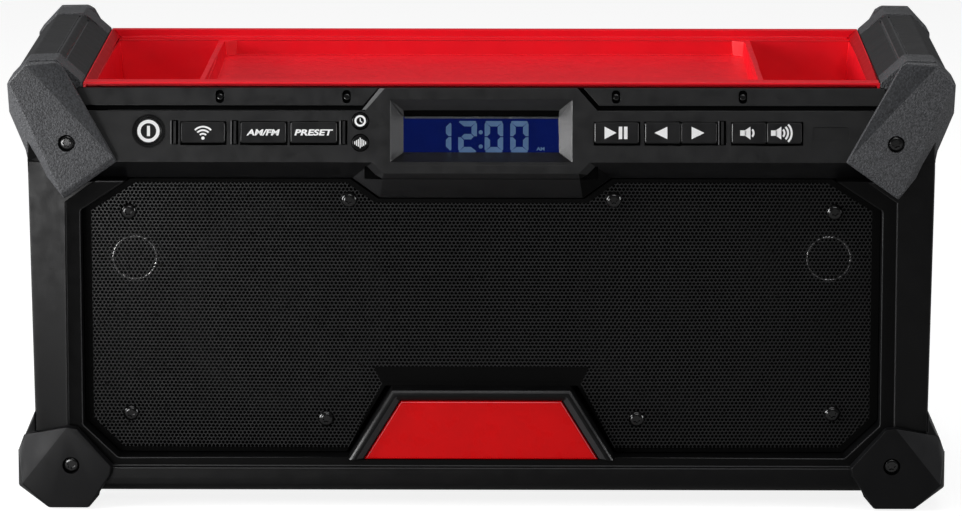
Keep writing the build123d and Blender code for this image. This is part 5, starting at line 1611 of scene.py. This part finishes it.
# ----------------------------------------------------------------- the grille
@dataclass
class Grille:
    """Perforated sheet in three flat fields, and the plain rim round it."""

    pitch: float = 1.70
    hole: float = 0.76
    sheet: float = 0.9
    crown: float = -78.0
    edge: float = -75.6
    half: float = 171.7
    rim_side: float = 3.4
    low: float = 22.4
    rim_low: float = 2.1
    top: float = 143.0
    rim_top: float = 1.5
    corner: Point = (151.0, 143.0)
    root: Point = (41.7, 52.1)
    upper_cut: Line = ((171.7, 129.9), (151.0, 143.0))
    lower_cut: Line = ((156.7, 22.4), (171.7, 36.8))
    rim_cut: float = 2.6
    notch_half: float = 46.0
    notch_low: float = 132.6
    notch_run: float = 12.0
    notch_rise: float = 8.7
    badge_side: float = 1.6
    badge_top: float = 54.6
    brow: Outline = ((-43.6, 54.0), (43.6, 54.0), (46.6, 60.4), (-46.6, 60.4))
    brow_depths: Point = (0.02, 0.14)
    badge_foot: Point = (57.6, 21.2)
    cutter_depths: Point = (-3.0, 1.6)

    def row(self) -> float:
        """Distance between two rows of holes."""
        return self.pitch * sin(pi / 3)

    def tile(self) -> Piece:
        """One six-sided tile with an eight-sided hole, lying in the XY plane."""
        tile = Bench.circle("tile", 6, self.pitch / 3**0.5, filled=False)
        Bench.bridge(tile, 8, self.hole, pi / 8)
        with Bench.editing(tile):
            bpy.ops.mesh.normals_make_consistent(inside=False)
        if tile.data.polygons[0].normal.z > 0:
            with Bench.editing(tile):
                bpy.ops.mesh.flip_normals()
        return tile

    def field(self, name: str, span: Span) -> Piece:
        """Flat perforated field in the XY plane, on the lattice that all fields share.

        Args:
            name: Its name.
            span: Lowest and highest x, then lowest and highest y, in millimetres.

        Returns:
            The field, a little larger than the span.
        """
        pair = 2 * self.row()
        first_x = floor(span[0] / self.pitch - 1)
        first_y = floor(span[2] / pair - 1)
        columns = ceil((span[1] - span[0]) / self.pitch) + 3
        pairs = ceil((span[3] - span[2]) / pair) + 2
        piece = Bench.copy(self.pattern, name)
        Bench.settle(piece, Matrix.Translation((first_x * self.pitch * MM, first_y * pair * MM, 0)))
        steps = (
            (2, (self.pitch / 2, self.row(), 0)),
            (columns, (self.pitch, 0, 0)),
            (pairs, (0, pair, 0)),
        )
        for count, offset in steps:
            array = piece.modifiers.new("rows", "ARRAY")
            array.count = count
            array.use_relative_offset = False
            array.use_constant_offset = True
            array.constant_offset_displace = Vector(offset) * MM
        Bench.apply_modifiers(piece)
        with Bench.editing(piece):
            bpy.ops.mesh.remove_doubles(threshold=2e-5)
        return piece

    def trim(self, piece: Piece, cuts: list[Line]) -> None:
        """Cut a field along lines and drop what lies to the right of each.

        Args:
            piece: The field.
            cuts: Lines, each from one point to another, in millimetres.
        """
        with Bench.editing(piece):
            for line in cuts:
                bpy.ops.mesh.select_all(action="SELECT")
                Bench.cut(line)

    @staticmethod
    def inset(line: Line, amount: float) -> Line:
        """The line moved to its left by an amount."""
        (x, y), (next_x, next_y) = line
        run, rise = next_x - x, next_y - y
        length = hypot(run, rise)
        move = (-rise / length * amount, run / length * amount)
        return ((x + move[0], y + move[1]), (next_x + move[0], next_y + move[1]))

    def flank_cuts(self) -> list[Line]:
        """Borders of the right-hand flank's perforations, anticlockwise."""
        low = self.low + self.rim_low
        right = self.half - self.rim_side
        return [
            ((0, low), (1, low)),
            self.inset(self.lower_cut, self.rim_cut),
            ((right, 0), (right, 1)),
            self.inset(self.upper_cut, self.rim_cut),
            ((1, self.top - self.rim_top), (0, self.top - self.rim_top)),
            (self.corner, self.root),
            self.inset((self.root, self.badge_foot), self.badge_side),
        ]

    def middle_cuts(self, side: Side) -> list[Line]:
        """Borders of one half of the middle field's perforations, anticlockwise."""
        top = self.top - self.rim_top
        lines = [
            ((0, self.badge_top), (1, self.badge_top)),
            (self.root, self.corner),
            ((1, top), (0, top)),
            ((0, 1), (0, 0)),
        ]
        return lines if side is Side.RIGHT else [mirrored(line) for line in lines]

    def in_notch(self, point: Vector) -> bool:
        """Whether a point of the middle field lies under the panel's tongue."""
        x, z = abs(point.x) / MM, point.y / MM
        rise = z - self.notch_low
        return rise > -0.02 and x < self.notch_line(z)

    def notch_line(self, z: float) -> float:
        """Half width of the notch's border at a height."""
        return self.notch_half + (z - self.notch_low) * self.notch_run / self.notch_rise

    def cut_notch(self, piece: Piece, side: Side) -> None:
        """Cut the tongue's notch out of half of the middle field."""
        turn = side.value
        low, high = self.notch_low, self.top
        reach = self.notch_line(high)
        for line in (
            ((0, low), (1, low)),
            ((turn * self.notch_line(low), low), (turn * reach, high)),
        ):
            with Bench.editing(
                piece, lambda at: abs(at.x) < (reach + 3) * MM and at.y > (low - 3) * MM
            ):
                Bench.cut(line, clear=False)
        with Bench.editing(piece, self.in_notch):
            bpy.ops.mesh.delete(type="FACE")

    def upright(self) -> Matrix:
        """Turns the XY plane into the crown's upright plane."""
        return Matrix.Translation((0, self.crown * MM, 0)) @ Matrix.Rotation(pi / 2, 4, "X")

    def fold(self, side: Side) -> Matrix:
        """Turns a flank back about its crease, from the crown's plane."""
        turn = side.value
        foot = Vector((turn * self.root[0], self.crown, self.root[1])) * MM
        head = Vector((turn * self.corner[0], self.crown, self.corner[1])) * MM
        tip = Vector((turn * self.half, self.crown, self.lower_cut[1][1])) * MM
        crease = (head - foot).normalized()
        reach = (tip - foot) - (tip - foot).dot(crease) * crease
        angle = atan2((self.edge - self.crown) * MM, reach.length)
        turned = Matrix.Rotation(angle, 4, crease)
        if (turned @ reach).y < reach.y:
            turned = Matrix.Rotation(-angle, 4, crease)
        return Matrix.Translation(foot) @ turned @ Matrix.Translation(-foot)

    def finish(self, piece: Piece, place: Matrix) -> None:
        """Give a field its thickness, stand it up and dress it."""
        Bench.settle(piece, place @ Matrix.Translation((0, 0, -self.sheet * MM)))
        solidify = piece.modifiers.new("sheet", "SOLIDIFY")
        solidify.thickness = self.sheet * MM
        solidify.offset = -1
        Bench.apply_modifiers(piece)
        with Bench.editing(piece):
            bpy.ops.mesh.delete_loose()
        Bench.pick(piece)
        bpy.ops.object.shade_smooth_by_angle(angle=radians(50))
        dress(piece, GRILLE)
        Bench.hang(piece, "grille")

    def build(self) -> None:
        """Perforate the four fields and cut the rim to them."""
        self.pattern = self.tile()
        for side in Side:
            turn = side.value
            name = side.name.lower()
            low, high = sorted((turn * 36, turn * (self.half + 1)))
            flank = self.field(f"grille_{name}_flank", (low, high, self.low, self.top))
            cuts = self.flank_cuts()
            self.trim(flank, cuts if turn > 0 else [mirrored(line) for line in cuts])
            self.finish(flank, self.fold(side) @ self.upright())
            low, high = sorted((0, turn * self.corner[0]))
            middle = self.field(f"grille_{name}_middle", (low, high, self.badge_top, self.top))
            self.trim(middle, self.middle_cuts(side))
            self.cut_notch(middle, side)
            self.finish(middle, self.upright())
        self.rim()
        # A thin near-black plate over the grille above the badge: painted shade.
        brow = Bench.settle(Bench.slab("grille_brow", self.brow, *self.brow_depths), self.upright())
        dress(brow, GRILLE_RIM_SHADE)
        Bench.hang(brow, "grille")
        bpy.data.objects.remove(self.pattern)

    def rim(self) -> None:
        """Plain border of the sheet: the CAD sheet with the perforated fields cut out, dressed near black
        as painted shade.
        """
        piece = Bench.clean_copy("grille", "grille_rim")
        cutters = [self.flank_cutter(side) for side in Side] + self.middle_cutters()
        Bench.combine(piece, "DIFFERENCE", *cutters)
        Bench.pick(piece)
        bpy.ops.object.shade_smooth_by_angle(angle=radians(32))
        dress(piece, GRILLE_RIM_SHADE)
        Bench.hang(piece, "grille", replace=True)

    def flank_cutter(self, side: Side) -> Piece:
        """Block through a flank's perforated field."""
        outline = self.polygon(self.flank_cuts())
        if side is Side.LEFT:
            outline = mirrored(outline)
        block = Bench.slab("cutter", outline, *self.cutter_depths)
        return Bench.settle(block, self.fold(side) @ self.upright())

    def middle_cutters(self) -> list[Piece]:
        """Blocks through the middle field, below and on each side of the notch."""
        low, high = self.badge_top, self.top - self.rim_top
        lower = self.notch_low
        left, right = (self.crease_x(z) for z in (low, lower))
        below = [(-left, low), (left, low), (right, lower), (-right, lower)]
        wing = [
            (self.notch_line(lower), lower),
            (self.crease_x(lower), lower),
            (self.crease_x(high), high),
            (self.notch_line(high), high),
        ]
        return [
            Bench.settle(Bench.slab("cutter", outline, *self.cutter_depths), self.upright())
            for outline in (below, wing, mirrored(wing))
        ]

    def crease_x(self, z: float) -> float:
        """Where the crease is at a height."""
        (x, low), (end_x, high) = self.root, self.corner
        return x + (z - low) * (end_x - x) / (high - low)

    @staticmethod
    def polygon(cuts: list[Line]) -> Outline:
        """Corners where each cut meets the next."""
        corners = []
        for (start, end), (other, far) in zip(cuts, cuts[1:] + cuts[:1]):
            run, rise = end[0] - start[0], end[1] - start[1]
            other_run, other_rise = far[0] - other[0], far[1] - other[1]
            cross = run * other_rise - rise * other_run
            along = ((other[0] - start[0]) * other_rise - (other[1] - start[1]) * other_run) / cross
            corners.append((start[0] + run * along, start[1] + rise * along))
        return corners


# --------------------------------------------------------------------- screws
@dataclass
class ScrewHead:
    """Screw with a six-lobe recess, drawn about its axis: head up, seat at nought."""

    name: str
    radius: float
    rise: float
    dome: float
    shank: float
    reach: float
    recess: float
    depth: float = 1.2
    sides: int = 36
    waist: float = 0.86
    lobe: float = 0.14
    sunk: float = 0.05
    chamfer: float = 0.25

    def build(self) -> Piece:
        """Turn the head from a disc in rings, add the shank and cut the recess."""
        screw = Bench.circle(self.name, self.sides, self.radius, filled=True)
        flank = self.rise - self.dome
        rings = [(self.radius, flank)]
        for step in (0.35, 0.62, 0.84, 0.97):
            angle = step * pi / 2
            rings.append((self.radius * (0.42 + 0.58 * cos(angle)), flank + self.dome * sin(angle)))
        with Bench.editing(screw):
            self.climb(rings)
        with Bench.editing(screw):
            bpy.ops.mesh.normals_make_consistent(inside=False)
        self.add_shank(screw)
        self.cut_recess(screw)
        Bench.outward(screw)
        Bench.smooth(screw, 40)
        return screw

    def climb(self, rings: list[Point]) -> None:
        """Extrude the selected face through rings of given radius and height."""
        radius, height = self.radius, 0.0
        for next_radius, next_height in rings:
            bpy.ops.mesh.extrude_region_move(
                TRANSFORM_OT_translate={"value": (0, 0, (next_height - height) * MM)}
            )
            ratio = next_radius / radius
            bpy.ops.transform.resize(value=(ratio, ratio, 1), center_override=(0, 0, 0))
            radius, height = next_radius, next_height

    def add_shank(self, screw: Piece) -> None:
        """Run the shank down from the head, its lower edge broken."""
        shank = self.cylinder("shank", 16, self.shank, self.reach, self.sunk - self.reach / 2)
        bevel = shank.modifiers.new("edge", "BEVEL")
        bevel.width = self.chamfer * MM
        bevel.segments = 1
        bevel.limit_method = "ANGLE"
        bevel.angle_limit = radians(28)
        Bench.apply_modifiers(shank)
        Bench.combine(screw, "UNION", shank)

    def cut_recess(self, screw: Piece) -> None:
        """Sink the six-lobe recess into the head's top."""
        drive = self.cylinder("drive", self.sides, self.recess, 2 * self.depth, self.rise)
        for vertex in drive.data.vertices:
            turn = atan2(vertex.co.y, vertex.co.x)
            reach = self.waist + self.lobe * cos(6 * turn)
            vertex.co.x *= reach
            vertex.co.y *= reach
        Bench.combine(screw, "DIFFERENCE", drive)

    @staticmethod
    def cylinder(name: str, sides: int, radius: float, depth: float, middle: float) -> Piece:
        """Upright cylinder on the screw's axis, with its middle at a height, in millimetres."""
        adder = bpy.ops.mesh.primitive_cylinder_add
        place = (0, 0, middle * MM)
        return Bench.settle(
            Bench.add(name, adder, vertices=sides, radius=radius * MM, depth=depth * MM, location=place)
        )


@dataclass
class ScrewSet:
    """All the screws of one CAD node, copied from one head."""

    node: str
    head: ScrewHead
    places: list[Matrix]
    finish: Finish

    def build(self) -> Piece:
        """Copy the screw to each place and join the copies."""
        first = self.head.build()
        copies = [
            Bench.copy(first, f"{self.node}_{number}", place @ Matrix.Rotation(number * 0.7, 4, "Z"))
            for number, place in enumerate(self.places)
        ]
        bpy.data.objects.remove(first)
        piece = Bench.join(f"{self.node}_set", copies)
        dress(piece, self.finish)
        return Bench.hang(piece, self.node, replace=True)


def facing(end: End, x: float, seat: float, z: float) -> Matrix:
    """Frame of a screw that faces the front or the rear.

    Args:
        end: Which way its head faces.
        x: Its axis, to the right, in millimetres.
        seat: Depth of its seat.
        z: Its axis, upwards.

    Returns:
        The frame, its Z axis out of the head.
    """
    turn = pi / 2 if end is End.FRONT else -pi / 2
    return Matrix.Translation(Vector((x, seat, z)) * MM) @ Matrix.Rotation(turn, 4, "X")


@dataclass
class Screws:
    """Every screw whose head shows."""

    grille: tuple[Triple, ...] = (
        (152.2, -77.45, 128.7),
        (57.0, -78.0, 134.0),
        (152.2, -76.05, 39.6),
        (67.3, -77.15, 37.4),
    )
    arm: Point = (177.3, 160.6)
    foot: Point = (177.3, 19.6)
    bumper_seat: float = -88.9
    rail_x: Point = (57.7, 112.0)
    rail_z: float = 179.55
    rail_seat: float = -2.0
    case: tuple[Point, ...] = ((185.2, 128.0), (185.2, 62.0), (88.0, 15.6))
    case_seat: float = 30.0

    def build(self) -> None:
        """Fit all four sets."""
        ends = [side.value for side in Side]
        grille = [facing(End.FRONT, end * x, seat, z) for x, seat, z in self.grille for end in ends]
        bumper = [
            facing(face, end * x, face.value * -self.bumper_seat, z)
            for x, z in (self.arm, self.foot)
            for end in ends
            for face in End
        ]
        rise = PANEL.up(self.rail_z)
        rail = [PANEL.place(end * x, rise, self.rail_seat) for x in self.rail_x for end in ends]
        case = [facing(End.REAR, end * x, self.case_seat, z) for x, z in self.case for end in ends]
        pan = ScrewHead("pan", 3.5, 1.9, 1.5, 1.5, 9.0, 1.7)
        socket = ScrewHead("socket", 3.55, 2.35, 0.9, 2.0, 14.0, 1.9)
        small = ScrewHead("rail", 1.65, 1.0, 0.5, 1.0, 2.0, 0.8, 0.7)
        long = ScrewHead("long", 3.75, 3.0, 1.2, 1.8, 44.0, 1.9)
        for node, head, places, finish in (
            ("grille_screws", pan, grille, ZINC),
            ("bumper_screws", socket, bumper, BLACK_OXIDE),
            ("rail_screws", small, rail, BLACK_OXIDE),
            ("case_screws", long, case, ZINC),
        ):
            ScrewSet(node, head, places, finish).build()


# ------------------------------------------------------------ tweeter surrounds
@dataclass
class Surround:
    """Bright ring round a tweeter's dome, seen through the grille."""

    side: Side
    x: float = 150.0
    z: float = 107.6
    y: float = -73.4
    radius: float = 9.4
    wire: float = 0.55

    def build(self) -> Piece:
        """Turn the ring and set it on its tweeter."""
        name = self.side.name.lower()
        ring = Bench.add(
            f"{name}_tweeter_ring",
            bpy.ops.mesh.primitive_torus_add,
            major_radius=self.radius * MM,
            minor_radius=self.wire * MM,
            major_segments=48,
            minor_segments=8,
        )
        place = Vector((self.side.value * self.x, self.y, self.z)) * MM
        Bench.settle(ring, Matrix.Translation(place) @ Matrix.Rotation(pi / 2, 4, "X"))
        Bench.smooth(ring, 60)
        dress(ring, BRIGHT)
        return Bench.hang(ring, f"{name}_tweeter")


# ------------------------------------------------------------------ the whole
SIDES = [side.name.lower() for side in Side]
CORNERS = [f"{end.name.lower()}_{side}" for side in SIDES for end in End]

SKINS = [
    FrameSkin("front_frame", HOUSING, 0.6),
    Skin("rear_housing", HOUSING, 0.45),
    FasciaSkin(
        "control_fascia",
        FASCIA,
        0.3,
        8.0,
        tuple((Axis.X, x) for x in (-160, -120, -95, -70, 0, 60, 80, 95, 115, 140, 160)),
    ),
    TraySkin("tray", TRAY, 0.4, 4.0, ((Axis.X, 0), (Axis.Y, 0), (Axis.X, 145), (Axis.X, -145))),
    EdgedSkin("badge_plate", BADGE, 0.7, edge=BADGE_EDGE_HIGHLIGHT),
    Skin("battery_case", PACK, 0.5, 2.0),
    Skin("port_flap", HOUSING, 0.35, 2.0),
    *(HandleSkin(f"{side}_handle", HANDLE, 0.3, 2.0) for side in SIDES),
    *(Skin(f"{side}_top_rail", FASCIA, 0.3, 2.0) for side in SIDES),
    *(BumperSkin(f"{corner}_bumper", RUBBER, 0.6, 1.5) for corner in CORNERS),
    *(FootSkin(f"{corner}_foot", FOOT_RUBBER, 0.6, 1.5) for corner in CORNERS),
]

PLAIN: dict[Finish, tuple[str, ...]] = {
    BLACK_AND_SHADE: ("speaker_baffle", "keypad_membrane"),
    LENS: ("display_lens",),
    LCD: ("lcd_panel",),
    ZINC: ("flap_hinge_pin",),
    SEAL: ("housing_gasket",),
    BOARD: ("control_board", "amplifier_board"),
    LATCH: tuple(f"{side}_battery_latch" for side in SIDES),
    INSULATOR: ("battery_terminal_block", "aux_jack", "dc_jack"),
    SOCKET: ("usb_socket",),
    PRESSED: tuple(f"{side}_woofer_frame" for side in SIDES),
    PAPER: tuple(f"{side}_{part}" for part in ("woofer_cone", "tweeter") for side in SIDES),
    FERRITE: tuple(f"{side}_woofer_magnet" for side in SIDES),
    KEYS: tuple(sign.node for sign in SIGNS if not isinstance(sign, (ClockSign, BarsSign))),
    ROUND_KEY: ("clock_button", "equalizer_button"),
}


def main() -> None:
    """Set the stage, dress what the CAD already shows, and build every sub-assembly."""
    logging.basicConfig(level=logging.INFO, format="%(name)s: %(message)s")
    Studio().build()
    for finish, nodes in PLAIN.items():
        for node in nodes:
            dress(frame["nodes"][node], finish)
    for skin in SKINS:
        skin.build()
    for sign in SIGNS:
        sign.build()
    Display().build()
    FasciaTrim().build()
    Grille().build()
    for side in Side:
        Surround(side).build()
    Screws().build()


if __name__ == "__main__":
    main()
